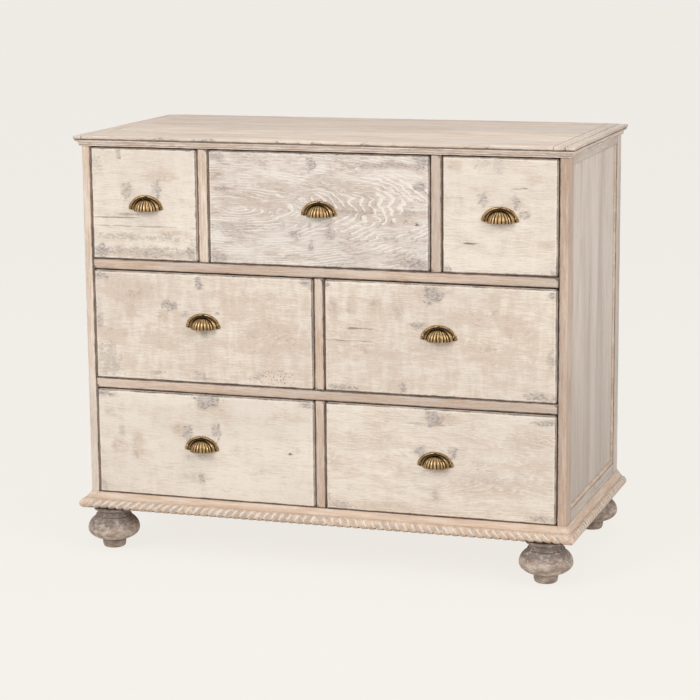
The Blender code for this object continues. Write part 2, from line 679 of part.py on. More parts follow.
def make_drawer(drawer, pull):
    """A drawer under an empty at the middle of its opening's foot, in the plane of the chest's front. The empty
    slides along Y."""
    name, left, right, foot, height, pull_right, pull_up = drawer
    slide = bpy.data.objects.new(f"slide_{name}", None)
    chest.objects.link(slide)
    slide.location = ((left + right) / 2, FRONT_Y, foot)

    half_width = (right - left) / 2 - DRAWER_SIDE_GAP
    front_y = -FRONT_PROUD
    joint_y = front_y + FRONT_THICKNESS
    front_foot, front_head = DRAWER_FOOT_GAP, height - DRAWER_TOP_GAP
    front_face = -FRONT_THICKNESS / 2

    def on_face(one, other):
        return max(one.y, other.y) < front_face + 1e-6

    board(
        f"drawer_front_{name}",
        (-half_width, front_y, front_foot),
        (half_width, joint_y, front_head),
        "limed_drawer_front",
        parent=slide,
        radius=FRONT_EDGE_RADIUS,
        steps=2,
        rounded=on_face,
    )

    box_start = joint_y + SEAT_GAP
    box_end = INNER_BACK_Y - FRONT_Y - DRAWER_BACK_GAP
    box_head = front_head - BOX_HEAD_DROP
    box = board(
        f"drawer_box_{name}",
        (-half_width, box_start, SEAT_GAP),
        (half_width, box_end, box_head),
        "raw_pine",
        parent=slide,
        radius=0,
    )
    hollow_high = (half_width - BOX_SIDE_THICKNESS, box_end - BOX_BACK_THICKNESS, box_head + BOX_HEAD_DROP)
    hollow_low = (-hollow_high[0], box_start - BOX_BACK_THICKNESS, SEAT_GAP + BOX_BOTTOM_THICKNESS)
    hollow = board(f"hollow_{name}", hollow_low, hollow_high, "raw_pine", parent=slide, radius=0)
    combine(box, hollow, "DIFFERENCE")

    pull_foot = (front_foot + front_head) / 2 + pull_up - (PULL_PLATE_HEIGHT - PULL_CUP_DROOP) / 2
    add_object(
        f"cup_pull_{name}",
        pull,
        "antique_brass",
        location=(pull_right, front_y - SEAT_GAP, pull_foot),
        parent=slide,
    )


clear_scene()
chest = make_collection("drawer_chest")
helpers = make_collection("cutters")
finishes = {name: make_finish(name) for name in FINISHES}
make_posts()
make_sides()
make_front_frame()
make_boards_inside()
make_top()
make_cornice()
make_base_mouldings()
make_feet()
cup_pull = cup_pull_mesh()
for one_drawer in DRAWERS:
    make_drawer(one_drawer, cup_pull)
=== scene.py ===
"""The limed pine chest of seven drawers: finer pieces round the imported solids, their finishes and a pale
studio. Metres, +Z up, the front facing -Y, as in the solids."""

import math
from functools import partial, reduce
from types import SimpleNamespace

import bmesh
import bpy
from mathutils import Matrix, Vector


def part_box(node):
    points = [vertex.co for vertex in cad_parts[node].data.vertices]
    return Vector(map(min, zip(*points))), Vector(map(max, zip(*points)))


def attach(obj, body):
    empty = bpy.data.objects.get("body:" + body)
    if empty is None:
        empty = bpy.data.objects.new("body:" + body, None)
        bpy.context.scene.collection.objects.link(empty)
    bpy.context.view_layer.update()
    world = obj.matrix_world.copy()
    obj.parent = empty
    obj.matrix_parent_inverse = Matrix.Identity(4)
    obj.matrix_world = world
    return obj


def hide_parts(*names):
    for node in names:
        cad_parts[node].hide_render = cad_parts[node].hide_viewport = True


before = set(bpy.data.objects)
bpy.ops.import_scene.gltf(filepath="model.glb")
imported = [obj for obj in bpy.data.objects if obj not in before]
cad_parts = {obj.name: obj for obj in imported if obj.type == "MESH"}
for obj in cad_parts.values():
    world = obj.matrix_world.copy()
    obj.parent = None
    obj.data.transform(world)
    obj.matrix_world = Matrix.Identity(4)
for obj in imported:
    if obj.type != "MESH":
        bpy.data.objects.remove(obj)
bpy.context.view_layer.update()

# Sizes that the solids share
FOOT_HEIGHT = 0.094
BASE_TOP = 0.131
HALF_WIDTH = 0.560
FRONT_Y = -0.24775
BACK_Y = 0.29225
OPENING_EDGE_X = 0.540
CORNICE_FOOT = 0.930
CORNICE_TOP = 0.945
SEAT_GAP = 0.0003

MM = 0.001
TINY = 1e-6
ORIGIN = (0, 0, 0)
X_AXIS, Y_AXIS, Z_AXIS = Vector((1, 0, 0)), Vector((0, 1, 0)), Vector((0, 0, 1))
SIDES = (("left", -1), ("right", 1))

# How boards are turned to bring their grain to X
QUARTER = math.pi / 2
LYING, FACING, UPRIGHT, DEEP = ORIGIN, (QUARTER, 0, 0), (0, QUARTER, 0), (0, 0, QUARTER)


def clamped(share):
    return min(1.0, max(0.0, share))


# ---------------- working on meshes


def take(*pieces):
    """Only these pieces are selected, and the first is active."""
    bpy.ops.object.select_all(action="DESELECT")
    for piece in pieces:
        piece.select_set(True)
    bpy.context.view_layer.objects.active = pieces[0]


def start_edit(piece):
    take(piece)
    bpy.ops.object.mode_set(mode="EDIT")
    bpy.ops.mesh.select_mode(type="VERT")
    bpy.ops.mesh.select_all(action="DESELECT")


def end_edit():
    bpy.ops.object.mode_set(mode="OBJECT")


def pick(kind, rule):
    """Selects the edges where rule(one end, other end) holds, or the faces where rule(normal) does."""
    piece = bpy.context.active_object
    bpy.ops.mesh.select_mode(type=kind)
    bpy.ops.mesh.select_all(action="DESELECT")
    cage = bmesh.from_edit_mesh(piece.data)
    cage.normal_update()
    if kind == "EDGE":
        found = [edge for edge in cage.edges if rule(edge.verts[0].co, edge.verts[1].co)]
    else:
        found = [face for face in cage.faces if rule(face.normal)]
    for part in found:
        part.select_set(True)
    bmesh.update_edit_mesh(piece.data)


MOST_CUTS = 60


def cut_rings(axis, length, step):
    """Cuts the long edges that run along an axis into steps, in several passes where they are many."""
    wanted = round(length / step)
    if wanted < 2:
        return
    passes = math.ceil(math.log(wanted, MOST_CUTS))
    each = max(2, round(wanted ** (1 / passes)))
    for done in range(passes):

        def along_axis(one, other, least=0.5 * length / each**done):
            run = other - one
            return run.length > least and abs(run.normalized().dot(axis)) > 0.999

        pick("EDGE", along_axis)
        bpy.ops.mesh.subdivide(number_cuts=each - 1)


def as_made(name):
    """The piece that was just made, named, its place, turn and scale put into its mesh."""
    piece = bpy.context.active_object
    piece.name = piece.data.name = name
    bpy.ops.object.transform_apply(location=True, rotation=True, scale=True)
    return piece


def outlined(name, corners):
    """A flat face with these corners, selected in edit mode."""
    bpy.ops.mesh.primitive_circle_add(vertices=len(corners), radius=1, fill_type="NGON")
    piece = as_made(name)
    for vert, corner in zip(piece.data.vertices, corners):
        vert.co = corner
    start_edit(piece)
    bpy.ops.mesh.select_all(action="SELECT")
    return piece


def smooth_piece(piece, degrees=35):
    take(piece)
    bpy.ops.object.shade_smooth_by_angle(angle=math.radians(degrees))


def apply_all(piece):
    take(piece)
    for modifier in list(piece.modifiers):
        bpy.ops.object.modifier_apply(modifier=modifier.name)


def joined(pieces, name):
    take(*pieces)
    bpy.ops.object.join()
    whole = pieces[0]
    whole.name = whole.data.name = name
    return whole


def outward_normals(piece):
    start_edit(piece)
    bpy.ops.mesh.select_all(action="SELECT")
    bpy.ops.mesh.remove_doubles(threshold=1e-6)
    bpy.ops.mesh.normals_make_consistent(inside=False)
    end_edit()


def copy_of(piece, name, shift, turn=0.0):
    """A copy with its own mesh, turned about Y and moved in its mesh."""
    twin = piece.copy()
    twin.data = piece.data.copy()
    twin.name = twin.data.name = name
    bpy.context.scene.collection.objects.link(twin)
    if turn:
        twin.data.transform(Matrix.Rotation(turn, 4, "Y"))
    twin.data.transform(Matrix.Translation(shift))
    return twin


def settle(piece, finish, slot, *nodes, body="carcase"):
    """Gives a finished piece its finish and its body, and hides the nodes that it stands for; slot is not
    used.
    """
    piece.data.materials.clear()
    piece.data.materials.append(finish)
    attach(piece, body)
    if nodes:
        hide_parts(*nodes)


def mark_points(piece, name, values):
    """Writes a number on each point of the mesh, for its finish to read."""
    mark = piece.data.attributes.new(name, "FLOAT", "POINT")
    mark.data.foreach_set("value", values)


def mark_by(piece, name, value_at):
    mark_points(piece, name, [value_at(vert.co) for vert in piece.data.vertices])


def nearness(value, aims, reach):
    """1 at the nearest of these aims, 0 a reach away from it."""
    return max(0.0, 1 - min(abs(value - aim) for aim in aims) / reach)


def mark_levels(piece, name, levels, reach):
    """Marks what lies near these heights, such as the lines between a moulding's members."""
    mark_by(piece, name, lambda place: nearness(place.z, levels, reach))


# ---------------- worn boards and mouldings

RUB_SIZE = 0.022
rubbing = bpy.data.textures.new("rubbing", "CLOUDS")
rubbing.noise_scale = RUB_SIZE
rubbing.noise_depth = 3
rubbing.contrast = 1.6
rubbing.intensity = 0.9
rubbing.use_clamp = True


def rub(piece, weight_at, depth, coarse=RUB_SIZE):
    """Wears a piece unevenly, inwards, where weight_at(place) says how much, from 0 to 1."""
    group = piece.vertex_groups.new(name="worn")
    for vert in piece.data.vertices:
        weight = weight_at(vert.co)
        if weight > 0:
            group.add([vert.index], weight, "REPLACE")
    texture = rubbing
    if coarse != RUB_SIZE:
        texture = rubbing.copy()
        texture.noise_scale = coarse
    wear = piece.modifiers.new("wear", "DISPLACE")
    wear.texture = texture
    wear.texture_coords = "LOCAL"
    wear.direction = "NORMAL"
    wear.mid_level = 0.0
    wear.strength = -depth
    wear.vertex_group = group.name
    apply_all(piece)
    piece.vertex_groups.clear()


# Boards with a coarser grid than this get a ring of edges near their ends, so that their worn edges stay
# narrow
COARSE_GRID = 0.010
EDGE_RING = 0.006


def arris_distance(place, low, high):
    """How far a place on a box's skin lies from the nearest of its edges."""
    gaps = sorted(min(place[axis] - low[axis], high[axis] - place[axis]) for axis in range(3))
    return max(gaps[1], 0.0)


def plank(name, low, high, edge, grid, depth=0.0, reach=0.005, chosen=None, segments=3, arris_of=None):
    """A board between two corners. Its chosen edges are eased, and all are unevenly rubbed within reach.
    arris_of tells how far a place is from an edge whose finish is worn and darkened with painted shade; all
    edges are, without it."""
    low, high = Vector(low), Vector(high)
    size = high - low
    bpy.ops.mesh.primitive_cube_add(size=1, location=(low + high) / 2, scale=size)
    piece = as_made(name)
    start_edit(piece)
    pick("EDGE", chosen or (lambda one, other: True))
    bpy.ops.mesh.bevel(offset=edge, offset_type="OFFSET", segments=segments, profile=0.5, affect="EDGES")
    for number, axis in enumerate((X_AXIS, Y_AXIS, Z_AXIS)):
        cut_rings(axis, size[number], grid)
        if grid > COARSE_GRID and size[number] > 3 * EDGE_RING:
            for centre in (low + EDGE_RING * axis, high - EDGE_RING * axis):
                bpy.ops.mesh.select_all(action="SELECT")
                bpy.ops.mesh.bisect(plane_co=centre, plane_no=axis)
    end_edit()
    distance = partial(arris_distance, low=low, high=high)
    mark_by(piece, "arris", arris_of or distance)
    if depth > 0:
        rub(piece, lambda place: max(0.0, 1.0 - distance(place) / reach) ** 1.5, depth)
    smooth_piece(piece)
    return piece


def moulding(name, profile, start, end, out, up, start_mitre=0.0, end_mitre=0.0, step=0.006):
    """A strip with this profile, outwards and up, run from start to end. A mitre is how far its end
    runs on for each metre outwards."""
    start, end = Vector(start), Vector(end)
    along = (end - start).normalized()
    length = (end - start).length
    piece = outlined(name, [(0.0, outwards, upwards) for outwards, upwards in profile])
    bpy.ops.mesh.extrude_region_move(TRANSFORM_OT_translate={"value": (length, 0, 0)})
    cut_rings(X_AXIS, length, step)
    end_edit()
    for vert in piece.data.vertices:
        share = vert.co.x / length
        outwards, upwards = vert.co.y, vert.co.z
        run = share * length + outwards * (end_mitre * share - start_mitre * (1 - share))
        vert.co = start + along * run + out * outwards + up * upwards
    outward_normals(piece)
    return piece


def arc(centre, radii, start, end, steps):
    """Points on an arc, both ends among them; the angles are in degrees."""
    angles = [math.radians(start + (end - start) * step / steps) for step in range(steps + 1)]
    return [(centre[0] + radii[0] * math.cos(a), centre[1] + radii[1] * math.sin(a)) for a in angles]


# ---------------- shader helpers


def colour(red, green, blue):
    """A colour as it is seen, from 0 to 255, made linear."""
    shares = [value / 255 for value in (red, green, blue)]
    return (*(s / 12.92 if s <= 0.04045 else ((s + 0.055) / 1.055) ** 2.4 for s in shares), 1.0)


def shades(*given):
    return tuple(colour(*shade) for shade in given)


def feed(socket, value):
    """Links a wire to a socket, or sets the socket to a plain value."""
    if isinstance(value, Wire):
        value.tree.links.new(value.socket, socket)
    else:
        socket.default_value = value


class Wire:
    """A node's output. Sums and products of wires, and what its methods give, are new nodes' outputs."""

    def __init__(self, socket):
        self.socket = socket
        self.tree = socket.id_data

    def node(self, kind, inputs, output=0, **settings):
        made = self.tree.nodes.new(f"ShaderNode{kind}")
        for key, value in settings.items():
            setattr(made, key, value)
        for key, value in inputs.items():
            feed(made.inputs[key], value)
        return Wire(made.outputs[output])

    def math(self, operation, *others):
        return self.node("Math", dict(enumerate((self, *others))), operation=operation)

    def __add__(self, other):
        return self.math("ADD", other)

    def __sub__(self, other):
        return self.math("SUBTRACT", other)

    def __mul__(self, other):
        return self.math("MULTIPLY", other)

    __radd__, __rmul__ = __add__, __mul__

    def vector(self, operation, other):
        return self.node("VectorMath", {0: self, 1: other}, operation=operation)

    def length(self):
        return self.node("VectorMath", {0: self}, "Value", operation="LENGTH")

    def part(self, axis):
        return self.node("SeparateXYZ", {0: self}, axis)

    def noise(self, scale, detail=4.0, rough=0.55, warp=0.0):
        inputs = {"Vector": self, "Scale": scale, "Detail": detail, "Roughness": rough, "Distortion": warp}
        return self.node("TexNoise", inputs)

    def streaks(self, scale, *shape):
        """Noise that is finer along some axes."""
        return self.node("Mapping", {"Vector": self, "Scale": scale}).noise(1.0, *shape)

    def span(self, low, high, to_low=0.0, to_high=1.0, kind="SMOOTHSTEP"):
        """This value's way from low to high."""
        inputs = {"Value": self, "From Min": low, "From Max": high, "To Min": to_low, "To Max": to_high}
        return self.node("MapRange", inputs, interpolation_type=kind)

    def mark(self, name):
        """A number that the piece carries on its points."""
        return self.node("Attribute", {}, "Fac", attribute_name=name)

    def bump(self, strength, distance):
        return self.node("Bump", {"Strength": strength, "Distance": distance, "Height": self})


def blend(share, one, other):
    """From one colour to the other, by a share that changes over the surface."""
    return share.node("Mix", {0: share, 6: one, 7: other}, 2, data_type="RGBA")


def vector_of(x, y, z=0.0):
    given = next(value for value in (x, y, z) if isinstance(value, Wire))
    return given.node("CombineXYZ", {0: x, 1: y, 2: z})


def greatest(masks):
    """The greatest of these masks, leaving out what is None; None when nothing is left."""
    masks = [mask for mask in masks if mask is not None]
    return reduce(lambda one, other: one.math("MAXIMUM", other), masks) if masks else None


def label_of(key):
    return key.replace("_", " ").capitalize()


def start_group(name, **inputs):
    """A node group, and the wires of its inputs. A vector's first value is a tuple."""
    tree = bpy.data.node_groups.new(name, "ShaderNodeTree")
    for key, value in inputs.items():
        kind = "NodeSocketVector" if isinstance(value, tuple) else "NodeSocketFloat"
        socket = tree.interface.new_socket(name=label_of(key), in_out="INPUT", socket_type=kind)
        socket.default_value = value
    entry = tree.nodes.new("NodeGroupInput")
    return tree, SimpleNamespace(**{key: Wire(socket) for key, socket in zip(inputs, entry.outputs)})


def end_group(tree, **outputs):
    for key in outputs:
        tree.interface.new_socket(name=label_of(key), in_out="OUTPUT", socket_type="NodeSocketFloat")
    leaving = tree.nodes.new("NodeGroupOutput")
    for key, wire in outputs.items():
        feed(leaving.inputs[label_of(key)], wire)
    return tree


def use_group(group, place, **inputs):
    """The outputs of a shared effect, with these values put in."""
    made = place.tree.nodes.new("ShaderNodeGroup")
    made.node_tree = group
    for key, value in dict(inputs, place=place).items():
        feed(made.inputs[label_of(key)], value)
    return SimpleNamespace(**{socket.name.lower(): Wire(socket) for socket in made.outputs})


def new_material(name, **uniform):
    """A material, its shader's inputs, with what is the same all over set on them, and the places in it."""
    material = bpy.data.materials.new(name)
    material.use_nodes = True
    tree = material.node_tree
    shader = tree.nodes["Principled BSDF"].inputs
    for key, value in uniform.items():
        shader[key].default_value = value
    return material, shader, Wire(tree.nodes.new("ShaderNodeTexCoord").outputs["Object"])


# ---------------- shared effects


def build_pine_grain():
    """Sawn pine, its grain along X and its face across Y: fine short fibres, growth rings that rise to a
    point as on a flat-sawn board, clouds of thin wash, strokes of the brush across the grain, and flecks."""
    tree, given = start_group(
        "pine_grain", place=ORIGIN, seed=0.0, ring_pitch=0.0045, taper=0.05, heart_depth=0.03, wander=0.004
    )
    place = given.place.vector("ADD", vector_of(3.7 * given.seed, given.seed, given.seed))
    bent = 0.016 * place.streaks((10, 22, 22), 2.0, 0.5) - 0.008
    place = place.vector("ADD", vector_of(0.0, bent))
    fibre = place.streaks((34, 430, 430), 4.0, 0.62, 0.2)
    cloud = place.streaks((12, 34, 34), 7.0, 0.64, 0.5)
    brush = place.streaks((62, 17, 17), 4.0, 0.55)
    fleck = place.streaks((130, 700, 700), 3.0, 0.6)
    tint = place.streaks((3.2, 7, 7), 2.0, 0.5)
    faint = place.streaks((14, 55, 55), 3.0, 0.5)

    swing = 14.0 * given.wander * (place.streaks((8, 20, 20), 3.0, 0.5) - 0.5)
    shake = 1.6 * given.wander * (place.streaks((50, 120, 120), 2.0, 0.5) - 0.5)
    heart = given.taper * given.place.part("X") + given.heart_depth
    radius = vector_of(given.place.part("Y"), heart + swing).length()
    rise = (radius + shake + 1.0).math("DIVIDE", given.ring_pitch).math("FRACT")
    late = rise.span(0.35, 0.85) * rise.span(1.0, 0.88) * faint.span(0.40, 0.60)
    return end_group(tree, fibre=fibre, ring=late, cloud=cloud, brush=brush, fleck=fleck, tint=tint)


def build_arris_wear_and_shade():
    """Rubbing and painted shade along a board's edges, from the distance to the nearest one: a thin dark line
    that comes and goes, worn paint darkened with painted shade beside gaps and under overhangs, and ragged
    chips that reach further in."""
    tree, given = start_group("arris_wear_and_shade", place=ORIGIN, distance=0.0, line_width=0.003, chip_width=0.008)
    along = given.place.noise(30.0, 3.0)
    fine = given.place.noise(260.0, 4.0, 0.6)
    limit = given.line_width * (0.5 * fine + along.span(0.34, 0.60, 0.40, 0.80, "LINEAR"))
    line = given.distance.span(limit, 0.35 * limit)
    reach = given.chip_width * along.span(0.54, 0.72, 0.0, 2.2, "LINEAR") * fine
    chip = given.distance.span(reach + 0.0001, 0.75 * reach)
    return end_group(tree, line=line, chip=chip)


def build_rubbed_patch():
    """An oval of a given size about a point in X and Z, its mask with a ragged edge, its halo with a soft
    one."""
    tree, given = start_group("rubbed_patch", place=ORIGIN, middle=ORIGIN, size=(1, 1, 1), ragged=0.0)
    offset = given.place.vector("SUBTRACT", given.middle).vector("DIVIDE", given.size)
    away = vector_of(offset.part("X"), offset.part("Z")).length()
    uneven = away + (-7.0 * given.ragged + 3.5)
    return end_group(tree, mask=uneven.span(1.25, 0.75), halo=away.span(1.6, 0.2))


def build_turned_wear():
    """Old paint on turned or carved wood: where it is pale, where rust-brown wood shows, and fine specks."""
    tree, given = start_group("turned_wear", place=ORIGIN, scale=30.0)
    pale = given.place.noise(given.scale, 8.0, 0.66, 0.15)
    rust = given.place.vector("ADD", (3.1, 1.7, 0.4)).noise(given.scale, 7.0, 0.68, 0.2)
    speck = given.place.noise(9.0 * given.scale, 4.0, 0.6)
    return end_group(tree, pale=pale.span(0.38, 0.66), rust=rust.span(0.54, 0.66), speck=speck)


pine_grain = build_pine_grain()
arris_wear_and_shade = build_arris_wear_and_shade()
rubbed_patch = build_rubbed_patch()
turned_wear = build_turned_wear()

# ---------------- finishes

BARE_PINE = colour(204, 181, 161)
CHALK = colour(243, 235, 223)
DIM_GREY = colour(146, 134, 126)
PALE_GREY = colour(194, 184, 176)
SMUDGE = colour(160, 137, 119)
# DARK_LINE is the edges' line: worn paint darkened with painted shade beside gaps
DARK_LINE = colour(84, 77, 74)
WORN_LINE = colour(176, 152, 132)
CRACK_BROWN = colour(118, 98, 84)
# The tone of the painted shade that darkens a board along one axis
PAINTED_SHADE = colour(164, 148, 136)
WARM_RUST = colour(190, 150, 118)

# Washes: the lime where it is warm and where it is cool, the wood that shows through, and the chalk
LIME_WASH = (*shades((233, 221, 205), (226, 214, 200)), BARE_PINE, CHALK)
FIGURED_WASH = (*shades((230, 219, 208), (222, 212, 202), (188, 166, 149)), CHALK)
PEACH_WASH = shades((215, 194, 175), (198, 181, 166), (184, 151, 125), (228, 215, 201))
PALE_WASH = shades((232, 215, 198), (218, 204, 190), (198, 168, 143), (240, 230, 217))
BROWN_WASH = shades((208, 184, 163), (190, 171, 156), (174, 139, 113), (220, 205, 190))
SIDE_WASH = shades((226, 213, 201), (203, 189, 177), (184, 161, 142), (235, 226, 216))
TOP_WASH = shades((229, 212, 194), (214, 200, 186), (197, 169, 145), (238, 227, 214))
RAW_PINE = shades((212, 186, 150), (198, 170, 134), (184, 150, 112), (224, 203, 172))

# How strongly the fibres thin the wash; clouds and brush strokes add their own shares
FIBRE_SHARE = 0.85


def limed_wood(
    name, turn=LYING, centre=(0, 0, 0.5), seed=0.0, tones=LIME_WASH, bare=0.5, bare_show=0.72, soft=0.22,
    cloud=0.9, stretch=1.0, ring=(0.0045, 0.05, 0.03, 0.004), ring_show=0.25, figure=0.0, brush=0.5,
    edges=None, highlight_line=None, worn=(), stains=(), cracks=(), worms=None, shade_ramp=None,
):
    """Pine under a rubbed lime wash. centre and turn bring the board's middle to zero and its grain to X.
    ring is the rings' pitch, their taper, how deep the heart lies and how far they wander. worn, stains
    and cracks are (x, z, half width, half height, amount) from the middle, the first four in mm, and worms
    is where worms have bored. edges are the widths of the dark line along the edges, which is worn paint
    darkened with painted shade beside gaps and under overhangs, and of the chips, and how dark the line is;
    crest is how far in a painted highlight follows it. dusty is painted shade: the axis along which the
    board grows darker, from where to where, and how much."""
    material, shader, place = new_material(name)
    middle = place.vector("SUBTRACT", tuple(centre))
    aligned = middle.node("Mapping", {"Vector": middle, "Rotation": turn})
    aligned = aligned.vector("MULTIPLY", (1 / stretch, 1.0, 1.0))
    pitch, taper, heart, wander = ring
    grain = use_group(
        pine_grain, aligned, seed=seed, ring_pitch=pitch, taper=taper, heart_depth=heart, wander=wander
    )
    ragged = middle.noise(52.0, 10.0, 0.74, 0.8)

    def spots(marks, edge=ragged, halo=False):
        masks = []
        for *numbers, amount in marks:
            x, z, width, height = (number * MM for number in numbers)
            spot = use_group(rubbed_patch, middle, middle=(x, 0, z), size=(width, 1.0, height), ragged=edge)
            masks.append(amount * (spot.halo if halo else spot.mask))
        return greatest(masks)

    warm, cool, pine, chalk = tones
    body = blend(grain.tint.span(0.40, 0.60), warm, cool)
    thin = FIBRE_SHARE * grain.fibre + cloud * grain.cloud + brush * grain.brush
    stained = spots(stains, halo=True)
    haloes = spots([(x, z, 1.5 * w, 1.5 * h, 0.9) for x, z, w, h, amount in worn if amount > 0.55], halo=True)
    for mask, share in ((grain.ring, -figure), (stained, 0.24), (haloes, 0.12)):
        if mask and share:
            thin = thin + share * mask
    half_way = 0.5 * (FIBRE_SHARE + cloud + brush) + 0.32 * (0.5 - bare)
    body = blend(bare_show * thin.span(half_way - soft * 0.7, half_way + soft), body, pine)
    if stained:
        body = blend(0.5 * stained * ragged.span(0.48, 0.66), body, SMUDGE)
    if figure:
        furrow = grain.ring.span(0.0, 0.2) * grain.ring.span(0.55, 0.3) * grain.cloud.span(0.44, 0.58)
        body = blend(0.6 * furrow, body, CRACK_BROWN)
    body = blend(ring_show * grain.ring, body, chalk)
    body = blend(0.6 * grain.fleck.span(0.58, 0.70), body, chalk)
    pores = 0.5 * grain.fleck.span(0.40, 0.28)
    body = blend(pores, body, tuple((one + other) / 2 for one, other in zip(pine, CRACK_BROWN)))
    # A chalky crust on the wash, its white lines partly a painted highlight on their raised ridges
    crust_and_highlight = (ragged - 0.5).math("ABSOLUTE").span(0.018, 0.0) * grain.cloud.span(0.54, 0.66)
    body = blend(0.5 * crust_and_highlight, body, chalk)
    splits = spots(cracks, grain.fibre)
    if worms:
        holes = middle.node("TexVoronoi", {"Vector": middle, "Scale": 190.0}, "Distance").span(0.36, 0.22)
        splits = greatest([splits, holes * spots([worms])])
    if splits:
        body = blend(splits, body, CRACK_BROWN)
    grey = spots(worn)
    if edges:
        line_width, chip_width, line_amount = edges
        arris = place.mark("arris")
        edge = use_group(arris_wear_and_shade, place, distance=arris, line_width=line_width, chip_width=chip_width)
        grey = greatest([grey, 0.85 * edge.chip])
    height = 0.6 * grain.fibre + ring_show * grain.ring + 0.3 * crust_and_highlight
    if grey:
        crumbs = middle.streaks((150, 150, 420), 4.0, 0.65)
        grey = grey * crumbs.span(0.36, 0.52, 0.25, 1.0)
        mottled = blend(crumbs.span(0.62, 0.46), DIM_GREY, PALE_GREY)
        body = blend(grey, body, blend(1.4 * pores, mottled, CRACK_BROWN))
        height = height - 0.8 * grey
    # The dark line along the edges: worn paint, darkened with painted shade beside gaps and under overhangs
    if edges:
        spent = blend(grain.fleck.span(0.44, 0.66), DARK_LINE, WORN_LINE)
        body = blend(line_amount * edge.line, body, spent)
    # A painted highlight a little way in from the edges, along the bevels
    if highlight_line:
        bright = arris.span(highlight_line - 0.0009, highlight_line - 0.0002) * arris.span(highlight_line + 0.0010, highlight_line + 0.0002)
        body = blend(0.7 * bright * grain.fleck.span(0.36, 0.56), body, chalk)
    # Painted shade: the board grows darker along one axis
    if shade_ramp:
        axis, lit_end, shaded_end, amount = shade_ramp
        body = blend(place.part(axis).span(lit_end, shaded_end, 0.0, amount), body, PAINTED_SHADE)
    feed(shader["Base Color"], body)
    feed(shader["Normal"], height.bump(0.6, 0.0008))
    feed(shader["Roughness"], grain.cloud.span(0.3, 0.7, 0.54, 0.74))
    return material


def painted_relief(
    name, scale, tones, dark=CRACK_BROWN, rust=WORN_LINE, grey_share=0.5, drawn=False, turned=1.0
):
    """Old wash on mouldings and turnings, uneven all round, or drawn out along a moulding that runs level,
    or in bands round a turning, turned times closer.
    Marks on the piece make it dark (hollow), with painted shade in creases and under overhangs, grey
    (inner), with worn paint and, on the feet, painted shade, white (chalked), with lime in grooves and a
    painted highlight along the base strip, or brown (spent)."""
    material, shader, place = new_material(name)
    if drawn:
        place = vector_of(0.25 * (place.part("X") + place.part("Y")), 3.0 * place.part("Z"))
    place = place.vector("MULTIPLY", (1.0, 1.0, turned))
    wear = use_group(turned_wear, place, scale=scale)
    wash, bare, grey = shades(*tones)
    fine = place.noise(330.0, 4.0, 0.6)
    ragged = place.noise(110.0, 7.0, 0.68, 0.3)
    body = blend(wear.pale, bare, wash)
    body = blend(0.45 * fine.span(0.45, 0.66), body, bare)
    # On the feet the grey mark is painted shade over the upper ball; elsewhere it is worn paint
    greyed = (3.0 * ragged + (place.mark("inner") + grey_share)).span(2.15, 2.55)
    body = blend(0.75 * greyed, body, grey)
    body = blend(0.45 * wear.rust, body, rust)
    body = blend(0.75 * (0.8 * fine + place.mark("spent")).span(0.65, 1.25), body, rust)
    # White where lime stays in the rope's grooves, and a painted highlight along the base strip's upper edge
    body = blend(0.75 * (0.6 * fine + place.mark("chalk_and_highlight")).span(0.75, 1.05), body, CHALK)
    body = blend(0.6 * wear.speck.span(0.60, 0.70), body, dark)
    # Painted shade, dark in the creases and under the overhangs that the marks point out
    body = blend(0.9 * (0.7 * fine + place.mark("hollow")).span(0.75, 1.25), body, dark)
    feed(shader["Base Color"], body)
    feed(shader["Normal"], (0.5 * fine - 0.4 * greyed).bump(0.5, 0.0006))
    feed(shader["Roughness"], wear.pale.span(0, 1, 0.6, 0.75))
    return material


def old_brass(name):
    """Cast brass, dark in its hollows and rubbed bright on its crests."""
    material, shader, place = new_material(name, Metallic=1.0)
    dull, bright, brown, dark = shades((150, 122, 84), (206, 178, 134), (108, 84, 58), (60, 47, 35))
    wear = use_group(turned_wear, place, scale=120.0)
    hollow = place.mark("hollow")
    body = blend(0.6 * wear.rust, blend(0.6 * wear.pale, dull, bright), brown)
    grime = 0.5 * wear.speck + (hollow - 0.22)
    feed(shader["Base Color"], blend(grime.span(0.15, 0.75), body, dark))
    feed(shader["Roughness"], wear.speck.span(0.3, 0.7, 0.2, 0.36) + 0.25 * hollow)
    feed(shader["Normal"], wear.speck.bump(0.15, 0.0002))
    return material


# ---------------- fronts, frame, sides and top

